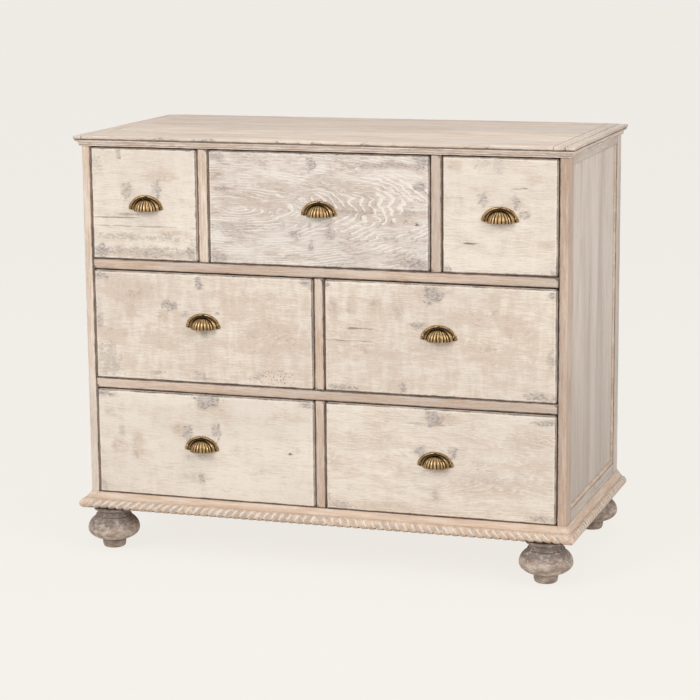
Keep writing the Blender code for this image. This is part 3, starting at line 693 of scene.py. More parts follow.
# What shows on each drawer front: its look, and its marks as (x, z, half width, half height, amount), the
# first four in mm from its middle
FRONT_MARKS = {
    "top_left": dict(
        bare=0.34, brush=0.4,
        worn=(
            (-42, 30, 11.5, 12.8, 0.8), (32, 32, 9.6, 14.0, 0.8), (-59, 113, 4.5, 12.2, 0.8),
            (-112, 84, 11.5, 18.3, 0.4), (-39, -23, 22.4, 2.7, 0.8), (-3, -75, 121.7, 5.5, 0.5),
            (3, -108, 121.7, 10.4, 0.6), (-104, -111, 16.0, 15.2, 0.9), (113, -105, 10.9, 15.2, 0.9),
        ),
        stains=((39, 62, 38, 18, 0.8), (52, -63, 48, 6, 0.8), (0, -112, 120, 8, 1.2)),
        cracks=((-77, -31, 48, 1.3, 0.7), (-6, -50, 96, 1.2, 0.4)),
    ),
    "top_middle": dict(
        tones=FIGURED_WASH, bare=0.56, brush=0.2,
        ring=(0.0056, 0.25, 0.050, 0.0024), ring_show=0.52, figure=0.18,
        worn=(
            (-227, 41, 12.7, 4.2, 0.9), (-15, 100, 7.9, 10.9, 0.9), (-20, -38, 4.2, 7.8, 0.9),
            (-15, -82, 4.8, 10.3, 0.9), (-53, -53, 13.9, 7.8, 0.8), (-236, -116, 21.2, 8.5, 0.9),
            (237, 113, 18.1, 18.1, 0.9), (162, 102, 54.4, 4.2, 0.6), (235, 57, 10.3, 7.8, 0.9),
            (205, 0, 21.2, 4.2, 0.6), (71, -1, 45.4, 2.7, 0.6), (29, -51, 7.9, 10.9, 0.8),
            (230, -110, 36.3, 9.1, 0.9), (-234, 115, 15.1, 9.1, 0.6), (-187, -44, 60.5, 9.1, 0.4),
        ),
        stains=((-236, 76, 18, 15, 1.0), (-150, 10, 80, 50, 0.5), (100, 20, 120, 40, 0.4)),
        cracks=((226, -24, 3.0, 3.4, 1.0), (-217, 41, 3.4, 3.0, 0.8)),
    ),
    "top_right": dict(
        bare=0.40, brush=0.3,
        worn=(
            (-37, 33, 10.5, 10.2, 0.8), (36, 31, 10.5, 12.0, 0.8), (54, 4, 9.9, 7.4, 0.7),
            (-38, 112, 14.5, 11.4, 0.35), (-3, 108, 9.9, 11.4, 0.35), (-118, -122, 8.7, 8.5, 0.9),
            (121, -121, 8.7, 8.5, 0.9),
        ),
        stains=((-99, 104, 17, 14, 0.9), (76, 84, 17, 14, 0.8), (104, -57, 17, 11, 0.8)),
        cracks=((-61, -61, 12.2, 1.7, 0.8), (44, 60, 14.5, 1.2, 0.6), (-95, 37, 17.4, 1.4, 0.5)),
    ),
    "middle_left": dict(
        bare=0.70, brush=0.6,
        worn=(
            (-78, 50, 15.0, 8.7, 0.9), (-8, 104, 6.6, 11.6, 0.9), (-245, 110, 18.0, 7.5, 0.8),
            (-44, 32, 9.0, 6.9, 0.6), (5, -12, 7.2, 9.8, 0.8), (35, 37, 4.8, 2.9, 0.9),
            (-253, 11, 9.0, 17.4, 0.6), (-237, -86, 27.0, 31.8, 0.45), (-9, -103, 10.8, 5.2, 0.7),
            (-113, -106, 15.0, 3.5, 0.6), (-4, -114, 30.0, 2.9, 0.6), (244, 115, 13.2, 5.8, 0.9),
            (126, -104, 10.2, 8.7, 0.6),
        ),
        stains=(
            (-170, 79, 60, 23, 1.0), (-215, -24, 36, 17, 0.9), (-107, -33, 48, 17, 0.9),
            (161, -13, 75, 46, 0.7), (101, 78, 90, 17, 0.6), (-176, 38, 12, 17, 1.1), (-95, 27, 12, 15, 1.0),
        ),
        worms=(177, -103, 27.0, 16.2, 0.8),
    ),
    "middle_right": dict(
        bare=0.68, brush=0.6,
        worn=(
            (-16, 100, 18.4, 13.9, 0.95), (-48, 32, 13.7, 6.6, 0.9), (-81, -110, 5.9, 10.9, 0.9),
            (-230, -116, 32.7, 5.4, 0.9), (227, -112, 32.7, 7.8, 0.8), (251, 112, 6.5, 6.6, 0.9),
            (249, -32, 7.1, 18.1, 0.6), (-255, 113, 4.2, 6.0, 0.7),
        ),
        stains=(
            (-199, 70, 12, 18, 1.2), (-243, 62, 12, 24, 1.1), (-145, 66, 15, 27, 1.1), (-95, 70, 15, 27, 1.1),
            (-24, 108, 36, 12, 1.1), (125, 80, 12, 24, 1.0), (117, 48, 89, 18, 0.9), (177, 23, 48, 21, 0.6),
            (-150, -30, 89, 18, 0.7), (103, -21, 74, 24, 0.6), (-96, -106, 18, 15, 1.0),
        ),
        cracks=((-192, 19, 20.8, 1.5, 0.7), (-210, -9, 47.5, 1.2, 0.5)),
    ),
    "bottom_left": dict(
        bare=0.26, brush=0.35,
        worn=(
            (11, 107, 25.4, 15.0, 0.9), (-246, 111, 18.1, 7.8, 0.9), (243, 112, 16.9, 5.4, 0.9),
            (-42, 30, 11.5, 12.0, 0.9), (28, 37, 8.5, 15.0, 0.9), (-8, -74, 7.3, 9.6, 0.9),
            (-253, -102, 7.9, 12.0, 0.8), (-237, 110, 30.2, 6.0, 0.5), (-7, -25, 30.2, 6.0, 0.3),
        ),
        stains=(
            (-210, -13, 18, 24, 1.1), (-165, -4, 15, 33, 1.2), (-204, 26, 9, 15, 1.0), (24, 90, 42, 18, 1.0),
            (-61, 36, 18, 15, 1.0), (193, 81, 48, 15, 0.6), (-22, -71, 30, 12, 0.7), (-219, 73, 30, 24, 0.5),
        ),
        cracks=((205, -3, 4.0, 2.2, 1.0),),
    ),
    "bottom_right": dict(
        bare=0.56, brush=0.2, ring=(0.0052, 0.16, 0.055, 0.004), ring_show=0.4,
        worn=(
            (-14, 99, 15.1, 13.0, 0.9), (239, 104, 24.1, 6.2, 0.9), (-44, 26, 10.8, 9.3, 0.9),
            (31, 26, 10.8, 9.3, 0.9), (-8, -75, 6.0, 12.4, 0.6), (-240, -113, 27.1, 7.4, 0.7),
            (236, -109, 24.1, 5.6, 0.7), (-256, -91, 4.8, 12.4, 0.6), (121, -30, 90.3, 12.4, 0.2),
        ),
        stains=(
            (10, 102, 33, 12, 1.0), (203, 61, 48, 22, 0.6), (-150, 42, 90, 16, 0.5), (121, -48, 120, 19, 0.5),
            (-89, -113, 120, 19, 0.5),
        ),
        cracks=((-29, 86, 54.2, 1.8, 0.35),),
    ),
}
DRAWERS = tuple(FRONT_MARKS)


def make_drawer_fronts():
    for number, drawer in enumerate(DRAWERS):
        node = f"drawer_front_{drawer}"
        low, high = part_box(node)

        def front_edge(one, other, face_y=low.y):
            return max(one.y, other.y) < face_y + TINY

        piece = plank(f"front_{drawer}", low, high, 0.0032, 0.0055, 0.0018, reach=0.008, chosen=front_edge)
        # A dark line of worn paint and painted shade round each front, and a painted highlight inside it
        finish = limed_wood(
            f"limed_front_{drawer}", FACING, (low + high) / 2, seed=1.3 * number + 0.7, cloud=0.7,
            edges=(0.0036, 0.006, 0.95), highlight_line=0.0048, **FRONT_MARKS[drawer],
        )
        settle(piece, finish, "limed_drawer_front", node, body=f"drawer_{drawer}")


# The timbers of the frame by their wash, with its turn, its seed and its tones
TIMBERS = (
    ("pale_post", UPRIGHT, 4.0, PALE_WASH, "post_front_left", "top_divider_left"),
    ("brown_post", UPRIGHT, 5.0, BROWN_WASH, "post_front_right"),
    ("rear_post", UPRIGHT, 6.0, SIDE_WASH, "post_rear_left", "post_rear_right"),
    ("peach_divider", UPRIGHT, 8.0, PEACH_WASH, "top_divider_right", "middle_divider", "bottom_divider"),
    ("peach_rail", FACING, 7.0, PEACH_WASH, "bottom_front_rail", "lower_drawer_rail", "upper_drawer_rail"),
    ("brown_rail", FACING, 9.0, BROWN_WASH, "top_front_rail"),
)


def drawer_arris(place, inner_x, front):
    """The front posts are worn, and darkened with painted shade, along the drawers alone."""
    return math.hypot(place.x - inner_x, place.y - front)


def make_frame_timbers():
    # Their edges' dark line is worn paint and painted shade beside the gaps
    look = partial(limed_wood, bare_show=0.85, stretch=2.4, brush=0.1, edges=(0.0034, 0.005, 1.0))
    for name, turn, seed, tones, *nodes in TIMBERS:
        finish = look(name, turn, seed=seed, tones=tones)
        for node in nodes:
            low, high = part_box(node)
            arris_of = None
            if node.startswith("post_front"):
                arris_of = partial(drawer_arris, inner_x=high.x if high.x < 0 else low.x, front=low.y)
            piece = plank(f"{node}_timber", low, high, 0.0016, 0.007, 0.0011, arris_of=arris_of)
            settle(piece, finish, "rubbed_frame", node)


def make_sides():
    # Painted shade: the sides grow darker towards the floor
    look = partial(limed_wood, centre=(0.55, 0, 0.5), tones=SIDE_WASH, brush=0.1, shade_ramp=(2, 0.75, 0.12, 0.35))
    rail_finish = look("side_rail_wash", DEEP, seed=9.0, stretch=3.0, edges=(0.0015, 0.004, 0.6))
    panel_finish = look("side_panel_wash", UPRIGHT, seed=12.0, bare=0.4, soft=0.3, stretch=4.0)
    for side, _ in SIDES:
        for node in (f"side_top_rail_{side}", f"side_foot_rail_{side}"):
            piece = plank(f"{node}_timber", *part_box(node), 0.0014, 0.007, 0.0008, reach=0.004)
            settle(piece, rail_finish, "limed_side", node)
        node = f"side_panel_{side}"
        panel = plank(f"{node}_board", *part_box(node), 0.0008, 0.02, segments=2)
        settle(panel, panel_finish, "limed_side", node)


def make_side_beads(finish):
    """A half-round bead down the rear edge of each panel and forward along its foot, mitred."""
    half, rise = 0.005, 0.0042
    profile = [(2 * half - out, up) for out, up in arc((half, 0.0), (half, rise), 0, 180, 10)]
    for side, sign in SIDES:
        node = f"side_bead_{side}"
        low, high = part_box(node)
        x = low.x if sign > 0 else high.x
        out = sign * X_AXIS
        start, corner, end = (x, high.y, high.z), (x, high.y, low.z), (x, low.y, low.z)
        rear = moulding("bead_rear", profile, start, corner, -Y_AXIS, out, end_mitre=-1.0)
        corner = (x, high.y - SEAT_GAP, low.z)
        foot = moulding("bead_foot", profile, corner, end, Z_AXIS, out, start_mitre=-1.0)
        piece = joined([rear, foot], f"panel_bead_{side}")
        smooth_piece(piece, 40)
        settle(piece, finish, "rubbed_frame", node)


LIP_WIDTH = 0.020
LIP_SEAM = 0.0018


def make_top():
    """The boards, with a lip and a strip let in at each end. Its finish is worn, and darkened with painted
    shade under the nosing, along the lower edges of its front and ends, and the boards grow darker towards
    the back with painted shade."""
    look = partial(
        limed_wood, tones=TOP_WASH, stretch=2.2, brush=0.15, soft=0.24, edges=(0.0036, 0.010, 1.0),
        shade_ramp=(1, -0.22, 0.26, 0.30),
    )
    finish = look("top_wash", LYING, (0, 0, 0.95), seed=2.0, ring=(0.006, 0.02, 0.2, 0.006))
    end_finish = look("top_end_wash", DEEP, (0.55, 0, 0.95), seed=3.0)
    low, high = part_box("top_board")
    front, foot = low.y, low.z
    edge_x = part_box("top_end_right")[1].x

    def nosing(one, other):
        return max(one.y, other.y) < front + TINY and abs(one.x - other.x) > TINY

    def under_nosing(place):
        return place.z - foot if abs(place.x) > edge_x - 0.003 or place.y < front + 0.003 else 1.0

    piece = plank("top_boards", low, high, 0.0038, 0.008, 0.0010, 0.006, nosing, arris_of=under_nosing)
    settle(piece, finish, "limed_top", "top_board")
    for side, sign in SIDES:
        node = f"top_end_{side}"
        low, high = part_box(node)
        inner, outer = (low.x, high.x) if sign > 0 else (high.x, low.x)

        def outside(one, other, outer=outer, front=low.y):
            end = abs(one.x - outer) < TINY
            along = abs(one.y - other.y) > TINY and end and abs(other.x - outer) < TINY
            across = abs(one.x - other.x) > TINY and max(one.y, other.y) < front + TINY
            upright = abs(one.z - other.z) > TINY and end and one.y < front + TINY
            return along or across or upright

        seam = outer - sign * LIP_WIDTH
        corners = (min(outer, seam), low.y, low.z), (max(outer, seam), high.y, high.z - 0.0012)
        lip = plank(f"top_lip_{side}", *corners, 0.0036, 0.007, 0.0008, chosen=outside, arris_of=under_nosing)
        seam -= sign * LIP_SEAM
        corners = (min(inner, seam), low.y, low.z), (max(inner, seam), high.y, high.z - 0.0004)
        strip = plank(f"top_strip_{side}", *corners, 0.0012, 0.007, 0.0008, arris_of=under_nosing)
        settle(lip, end_finish, "limed_top", node)
        settle(strip, end_finish, "limed_top")


# ---------------- cornice, base and feet


def make_cornice(finish):
    """A foot bead, a cove and a head fillet, run round three sides and mitred."""
    head_out = 0.0120
    profile = [
        (SEAT_GAP, CORNICE_FOOT),
        *arc((0.0030, CORNICE_FOOT + 0.0018), (0.0018, 0.0018), -90, 70, 6),
        *arc((0.0118, CORNICE_FOOT + 0.0036), (-0.0070, 0.0078), 0, 90, 7),
        (head_out, CORNICE_FOOT + 0.0116),
        (head_out, CORNICE_TOP),
        (SEAT_GAP, CORNICE_TOP),
    ]
    corners = [(sign * HALF_WIDTH, y, 0) for sign in (-1, 1) for y in (BACK_Y, FRONT_Y)]
    rear_left, front_left, rear_right, front_right = corners
    runs = {
        "front": (front_left, front_right, -Y_AXIS, Z_AXIS, 1, 1),
        "right": (front_right, rear_right, X_AXIS, Z_AXIS, 1, 0),
        "left": (rear_left, front_left, -X_AXIS, Z_AXIS, 0, 1),
    }
    for side, run in runs.items():
        piece = moulding(f"cornice_run_{side}", profile, *run)
        # Painted shade along the crease between the bead and the cove, and along the top under the nosing
        mark_levels(piece, "hollow", (CORNICE_FOOT + 0.0037, CORNICE_TOP), 0.0010)
        rub(piece, lambda place: 0.8, 0.0007, 0.012)
        smooth_piece(piece, 40)
        settle(piece, finish, "rubbed_frame", f"cornice_{side}")


JOINT_GAP = 0.0006
CORNER_LENGTH = 0.030
SIDE_DEPTH = BACK_Y - FRONT_Y
ROPE_RADIUS = 0.0115
ROPE_OUT = 0.0115
ROPE_LEVEL = FOOT_HEIGHT + ROPE_RADIUS
LOBE_PITCH = 0.018
LOBE_STEPS = 14
LOBE_DEPTH = 0.13
LOBE_NOTCH = 0.10
LEAN_LEFT, LEAN_RIGHT = 0.66, 0.46
STRIP_PROFILE = (
    (SEAT_GAP, BASE_TOP - 0.0150),
    (SEAT_GAP, BASE_TOP),
    (0.0014, BASE_TOP),
    (0.0030, BASE_TOP - 0.0016),
    (0.0098, BASE_TOP - 0.0108),
    (0.0120, BASE_TOP - 0.0124),
    (0.0120, BASE_TOP - 0.0150),
)


def joint_x(out, level):
    """Where the slanted joint near a front corner lies."""
    return min(OPENING_EDGE_X + BASE_TOP - level, HALF_WIDTH + out - 0.0008)


def front_place(along, out, level):
    """A place on the front moulding, which fits between its two joints."""
    return Vector((along / OPENING_EDGE_X * (joint_x(out, level) - JOINT_GAP), FRONT_Y - out, level))


def side_place(sign, run, out, level):
    """A place on a side moulding: first along the front from the slanted joint to the corner, then back
    along the side."""
    if run < CORNER_LENGTH - TINY:
        start, end = joint_x(out, level), HALF_WIDTH + out
        return Vector((sign * (start + (end - start) * run / CORNER_LENGTH), FRONT_Y - out, level))
    share = (run - CORNER_LENGTH) / SIDE_DEPTH
    return Vector((sign * (HALF_WIDTH + out), FRONT_Y - out + share * (SIDE_DEPTH + out), level))


def lobe(along, angle):
    """At a place along the rope, from its middle, and round it: how far it is down the groove between two
    lobes, how much of its radius it keeps, and how far across its lobe it lies. The grooves start upright
    underneath and bend towards the rope's ends as they climb."""
    climb = clamped((angle + 1.1) / 2.6)
    lean = (-LEAN_LEFT if along < 0 else LEAN_RIGHT) * (0.3 * climb + 0.7 * climb**2)
    turns = along / LOBE_PITCH + lean
    groove = 1 - abs(math.sin(math.pi * turns)) ** 0.55
    depth = LOBE_DEPTH + LOBE_NOTCH * max(0.0, -math.sin(angle))
    return groove, 1 - depth * groove, turns - math.floor(turns)


def carved_rope(length, shift, place_of, start, fade_of):
    """A round bar along X, moved by shift and cut into fine rings, its lobes carved from start on and faded
    by fade_of, and each point put in its place on the chest. The wash stays white in the grooves and wears
    to brown wood underneath, where each groove ends in a dark notch of painted shade, and a line of painted
    shade runs along its top, under the strip."""
    bpy.ops.mesh.primitive_cylinder_add(
        vertices=28, radius=ROPE_RADIUS, depth=length, rotation=(0, QUARTER, 0), end_fill_type="NGON"
    )
    bar = as_made("rope")
    start_edit(bar)
    cut_rings(X_AXIS, length, LOBE_PITCH / LOBE_STEPS)
    end_edit()
    dark, grey, white, brown = [], [], [], []
    for vert in bar.data.vertices:
        vert.co.x += shift
        angle = math.atan2(vert.co.z, -vert.co.y)
        fade, along = fade_of(vert.co.x), vert.co.x - start
        groove, keep, across = lobe(along, angle)
        keep = 1 - (1 - keep) * fade
        # Painted shade: a dark notch where each groove runs under the rope, and a dark line along its top
        # where the strip sits over it
        notch = clamped((-angle - 0.40) / 0.30)
        seam = nearness(angle, (math.radians(80),), 0.45)
        dark.append(max(clamped(2.0 * groove**1.3) * notch * fade, 0.58 * seam))
        white.append(clamped(1.3 * groove**1.4) * (1 - notch) * (1 - seam) * fade)
        grey.append(fade * (0.35 - abs(across - 0.5)) * (1.6 if along < 0 else 0.9))
        brown.append(0.8 * clamped((-angle - 0.5) / 0.5))
        vert.co = place_of(vert.co.x, ROPE_OUT - vert.co.y * keep, ROPE_LEVEL + vert.co.z * keep)
    for name, values in (("hollow", dark), ("inner", grey), ("chalk_and_highlight", white), ("spent", brown)):
        mark_points(bar, name, values)
    return bar


def make_base(rope_finish, strip_finish):
    """The front moulding fits between slanted joints; the side ones turn the corners, smooth there, and
    their rope starts behind the corner. The strip over each rope is brown along its lower edge and white
    along its upper one, a painted highlight."""

    def settle_base(side, strip, bar, rubbed):
        mark_levels(strip, "spent", [BASE_TOP - 0.0130], 0.0016)
        # A painted highlight along the strip's upper edge
        mark_levels(strip, "chalk_and_highlight", [BASE_TOP - 0.0008], 0.0014)
        for piece, name in ((strip, f"base_strip_{side}"), (bar, f"rope_base_{side}")):
            piece.name = name
            if side != "front":
                outward_normals(piece)
            rub(piece, lambda place: 0.6 if rubbed(place) else 0.0, 0.0006, 0.012)
            smooth_piece(piece, 50)
        settle(strip, strip_finish, "rope_moulding")
        settle(bar, rope_finish, "rope_moulding", f"base_moulding_{side}")

    half = OPENING_EDGE_X
    bar = carved_rope(2 * half, 0.0, front_place, 0.0, lambda along: clamped((half - abs(along)) / 0.015))
    strip = moulding("strip", STRIP_PROFILE, (-half, FRONT_Y, 0), (half, FRONT_Y, 0), -Y_AXIS, Z_AXIS)
    for vert in strip.data.vertices:
        vert.co = front_place(vert.co.x, FRONT_Y - vert.co.y, vert.co.z)
    settle_base("front", strip, bar, lambda place: abs(place.x) < half - 0.004)

    total = CORNER_LENGTH + SIDE_DEPTH

    def side_fade(run):
        return clamped((run - CORNER_LENGTH - 0.002) / 0.012)

    for side, sign in SIDES:
        place_of = partial(side_place, sign)
        bar = carved_rope(total, total / 2, place_of, CORNER_LENGTH - 0.006, side_fade)
        fine = CORNER_LENGTH / 5
        strip = moulding("strip", STRIP_PROFILE, ORIGIN, (total, 0, 0), Y_AXIS, Z_AXIS, step=fine)
        for vert in strip.data.vertices:
            vert.co = place_of(*vert.co)
        settle_base(side, strip, bar, lambda place: place.y > FRONT_Y)


# The turned foot's outline as (radius, height), from its top down, a ball between the two
FOOT_HEAD = (
    (0.0, 0.0937), (0.0446, 0.0937), (0.0452, 0.0922), (0.0449, 0.0902), (0.0432, 0.0888), (0.0402, 0.0874),
    (0.038, 0.0856), (0.037, 0.0836), (0.037, 0.0818), (0.038, 0.0802), (0.0394, 0.0791), (0.0408, 0.0784),
    (0.0415, 0.0775), (0.0416, 0.0766), (0.041, 0.0758), (0.0407, 0.0752),
)
FOOT_PAD = (
    (0.0272, 0.02), (0.0268, 0.0193), (0.0274, 0.0186), (0.0274, 0.015), (0.027, 0.01), (0.0262, 0.006),
    (0.0246, 0.0026), (0.0222, 0.0007), (0.019, 0.0), (0.0, 0.0),
)
BALL_RADIUS = 0.0598
BALL_LEVEL = 0.0455
BALL_TOP, BALL_LOW = 46.6, -68.4  # in degrees from its equator
BALL_STEPS = 16


def make_feet(finish):
    profile = list(FOOT_HEAD)
    for step in range(BALL_STEPS + 1):
        turn = math.radians(BALL_TOP + (BALL_LOW - BALL_TOP) * step / BALL_STEPS)
        rise, fullness = (0.0400, 1.0) if turn > 0 else (0.0271, 0.75)
        profile.append((BALL_RADIUS * math.cos(turn) ** fullness, BALL_LEVEL + rise * math.sin(turn)))
    profile += FOOT_PAD
    bpy.ops.mesh.primitive_plane_add(size=0.01)
    foot = as_made("turned_foot")
    start_edit(foot)
    bpy.ops.mesh.select_all(action="SELECT")
    bpy.ops.mesh.merge(type="CENTER")
    cage = bmesh.from_edit_mesh(foot.data)
    cage.verts.ensure_lookup_table()
    cage.verts[0].co = (profile[0][0], 0, profile[0][1])
    bmesh.update_edit_mesh(foot.data)
    for before, after in zip(profile, profile[1:]):
        shift = (after[0] - before[0], 0, after[1] - before[1])
        bpy.ops.mesh.extrude_vertices_move(TRANSFORM_OT_translate={"value": shift})
    bpy.ops.mesh.select_all(action="SELECT")
    bpy.ops.mesh.spin(steps=72, angle=2 * math.pi, center=ORIGIN, axis=(0, 0, 1))
    bpy.ops.mesh.select_all(action="SELECT")
    bpy.ops.mesh.remove_doubles(threshold=5e-6)
    bpy.ops.mesh.normals_make_consistent(inside=False)
    end_edit()
    # Painted shade in the creases of the turning and where the ball meets its pad
    mark_levels(foot, "hollow", (0.0752, 0.0827, 0.0203), 0.0016)
    # Painted shade: greyer and darker from the middle of the ball up, less grey below it
    mark_by(foot, "inner", lambda place: 0.9 * clamped((place.z - 0.043) / 0.022) - 0.35)
    for where in ("front", "rear"):
        for side, _ in SIDES:
            node = f"bun_foot_{where}_{side}"
            low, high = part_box(node)
            middle = (low + high) / 2
            twin = copy_of(foot, f"turned_foot_{where}_{side}", (middle.x, middle.y, 0))
            rub(twin, lambda place: 1.0 if place.z > 0.004 else 0.0, 0.0005, 0.02)
            smooth_piece(twin, 40)
            settle(twin, finish, "worn_foot", node)
    bpy.data.objects.remove(foot, do_unlink=True)


# ---------------- pulls

# Across the plate's rim and collar, as (radius, how far out)
PLATE_INNER, PLATE_OUTER = 0.0255, 0.042
PLATE_SECTION = (
    (PLATE_INNER, 0.0), (PLATE_OUTER, 0.0), (PLATE_OUTER, 0.0007), (0.0415, 0.0014), (0.0406, 0.0017),
    (0.0397, 0.0014), (0.0385, 0.0012), (0.036, 0.0015), (0.0335, 0.0024), (0.0316, 0.0038), (0.0304, 0.0056),
    (0.0297, 0.0068), (0.0289, 0.0073), (0.0281, 0.0069), (0.0277, 0.0056), (0.0272, 0.0036), (0.0262, 0.002),
)
PLATE_HEIGHT = 0.033
COLLAR_HEIGHT = 0.025
CUP_REACH = (0.028, 0.0215, 0.0258)  # half its width, its depth and its height
FLUTES = 10
# Where the screws sit, as (x, z), and how far their slots are turned
SCREWS = ((0.0, 0.0302, 0.4), (-0.0352, 0.0074, -0.9), (0.0352, 0.0074, 1.9))


def pull_plate():
    """The arched plate with its rim and its collar: the cross-section spun through half a turn, and then
    flattened to the plate's height."""
    plate = outlined("plate", [(radius, -reach, 0) for radius, reach in PLATE_SECTION])
    bpy.ops.mesh.spin(steps=56, angle=math.pi, center=ORIGIN, axis=(0, 1, 0))
    end_edit()
    for vert in plate.data.vertices:
        radius = math.hypot(vert.co.x, vert.co.z)
        turn = math.atan2(vert.co.z, vert.co.x)
        share = (radius - PLATE_INNER) / (PLATE_OUTER - PLATE_INNER)
        height = COLLAR_HEIGHT + share * (PLATE_HEIGHT - COLLAR_HEIGHT)
        corner = 0.0026 * (max(0.0, radius - 0.0375) / 0.0045) ** 2
        vert.co = (radius * math.cos(turn), vert.co.y, max(height * math.sin(turn), corner))
    outward_normals(plate)
    mark_by(plate, "hollow", lambda place: nearness(math.hypot(place.x, 1.24 * place.z), (0.0345,), 0.004))
    return plate


def pull_cup():
    """A quarter of a hollow ball, fluted from its top down to a scalloped lip."""
    bpy.ops.mesh.primitive_uv_sphere_add(segments=16 * FLUTES, ring_count=28, radius=1)
    cup = as_made("cup")
    start_edit(cup)
    for keep in ((0, 0, 1), (0, -1, 0)):
        bpy.ops.mesh.select_all(action="SELECT")
        bpy.ops.mesh.bisect(plane_co=ORIGIN, plane_no=keep, clear_inner=True)
    end_edit()

    def ridge(place):
        return abs(math.sin(FLUTES * math.atan2(-place.y, place.x))) ** 0.6

    mark_by(cup, "hollow", lambda place: (1 - ridge(place)) ** 0.8)
    width, depth, height = CUP_REACH
    for vert in cup.data.vertices:
        x, y, z = vert.co
        low = 1 - z
        share = (1 - 0.11 * (1 - ridge(vert.co)) * low**0.35) * (1 + 0.02 * low**8)
        drop = 0.0015 + 0.0011 * ridge(vert.co) * low**5
        vert.co = (x * width * share, y * depth * share, z * height - drop)
    wall = cup.modifiers.new("wall", "SOLIDIFY")
    wall.thickness = 0.0016
    wall.offset = -1
    apply_all(cup)
    return cup


def pull_screw():
    """A raised screw head, its slot along X, its back at the origin."""
    bpy.ops.mesh.primitive_cylinder_add(
        vertices=28, radius=0.0030, depth=0.0016, location=(0, -0.0008, 0), rotation=(QUARTER, 0, 0)
    )
    head = as_made("screw_head")
    start_edit(head)
    pick("FACE", lambda normal: normal.y < -0.9)
    bpy.ops.mesh.inset(thickness=0.0012, depth=0.0006)
    bpy.ops.mesh.inset(thickness=0.0008, depth=0.0002)
    end_edit()
    bpy.ops.mesh.primitive_cube_add(size=1, location=(0, -0.0024, 0), scale=(0.008, 0.0016, 0.0008))
    slot = as_made("screw_slot")
    cut = head.modifiers.new("slot", "BOOLEAN")
    cut.operation = "DIFFERENCE"
    cut.object = slot
    apply_all(head)
    bpy.data.objects.remove(slot, do_unlink=True)
    mark_by(head, "hollow", lambda place: 1.0 if place.y > -0.0014 or abs(place.z) < 0.0005 else 0.3)
    return head


def make_pulls(finish):
    """The pull once, about the middle of its plate's foot, and a copy on each drawer."""
    head = pull_screw()
    screws = [copy_of(head, "screw", (x, -0.0006, z), turn) for x, z, turn in SCREWS]
    bpy.data.objects.remove(head, do_unlink=True)
    pull = joined([pull_plate(), pull_cup(), *screws], "shell_pull")
    smooth_piece(pull, 40)
    for drawer in DRAWERS:
        node = f"cup_pull_{drawer}"
        low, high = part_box(node)
        twin = copy_of(pull, f"shell_pull_{drawer}", ((low.x + high.x) / 2, high.y, high.z - PLATE_HEIGHT))
        settle(twin, finish, "antique_brass", node, body=f"drawer_{drawer}")
    bpy.data.objects.remove(pull, do_unlink=True)


# ---------------- drawer boxes and carcase boards


def boards(name, low, high, along, count, gap=0.0005):
    """A panel of boards side by side, split along one axis, their edges eased."""
    low, high = Vector(low), Vector(high)
    width = (high[along] - low[along]) / count
    pieces = []
    for number in range(count):
        near, far = low.copy(), high.copy()
        near[along] = low[along] + number * width + (gap / 2 if number else 0)
        far[along] = low[along] + (number + 1) * width - (gap / 2 if number < count - 1 else 0)
        pieces.append(plank(f"{name}_{number}", near, far, 0.0009, 0.05, segments=2))
    return joined(pieces, name) if count > 1 else pieces[0]


def nail_heads(name, places, facing, radius=0.0024, rise=0.0005):
    """Low round nail heads, their backs on these places, facing an axis."""
    bpy.ops.mesh.primitive_cylinder_add(vertices=14, radius=radius, depth=rise, location=(0, 0, rise / 2))
    head = as_made("nail_head")
    start_edit(head)
    pick("FACE", lambda normal: normal.z > 0.9)
    bpy.ops.mesh.inset(thickness=0.3 * radius, depth=0.5 * rise)
    end_edit()
    head.data.transform(Z_AXIS.rotation_difference(facing).to_matrix().to_4x4())
    piece = joined([copy_of(head, "nail", place) for place in places], name)
    bpy.data.objects.remove(head, do_unlink=True)
    smooth_piece(piece)
    return piece


def make_drawer_boxes(level, deep, iron):
    """Two sides, a back and a bottom of three boards, nailed."""
    side_wall, bottom_wall, fit, back_drop, nail_sink = 0.011, 0.008, 0.0003, 0.006, 0.0004
    for drawer in DRAWERS:
        body, node = f"drawer_{drawer}", f"drawer_box_{drawer}"
        low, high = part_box(node)
        inner_low, inner_high = low.x + side_wall, high.x - side_wall
        left = boards(f"{node}_left", low, (inner_low, high.y, high.z), 2, 1)
        right = boards(f"{node}_right", (inner_high, low.y, low.z), high, 2, 1)
        inner_low, inner_high = inner_low + fit, inner_high - fit
        back_low = (inner_low, high.y - side_wall, low.z + bottom_wall + fit)
        back = boards(f"{node}_back", back_low, (inner_high, high.y, high.z - back_drop), 2, 2)
        bottom_high = (inner_high, high.y, low.z + bottom_wall)
        bottom = boards(f"{node}_bottom", (inner_low, low.y, low.z), bottom_high, 1, 3)
        settle(joined([left, right], f"{node}_sides"), deep, "raw_pine", node, body=body)
        settle(joined([back, bottom], f"{node}_boards"), level, "raw_pine", body=body)
        height = high.z - low.z
        places = [(high.y - side_wall / 2, low.z + height * share) for share in (0.16, 0.39, 0.61, 0.84)]
        places += [(low.y + 0.09 + 0.15 * step, low.z + bottom_wall / 2) for step in range(3)]
        for (side, sign), face in zip(SIDES, (low.x, high.x)):
            spots = [(face - sign * nail_sink, y, z) for y, z in places]
            nails = nail_heads(f"nails_{drawer}_{side}", spots, sign * X_AXIS)
            settle(nails, iron, "antique_brass", body=body)


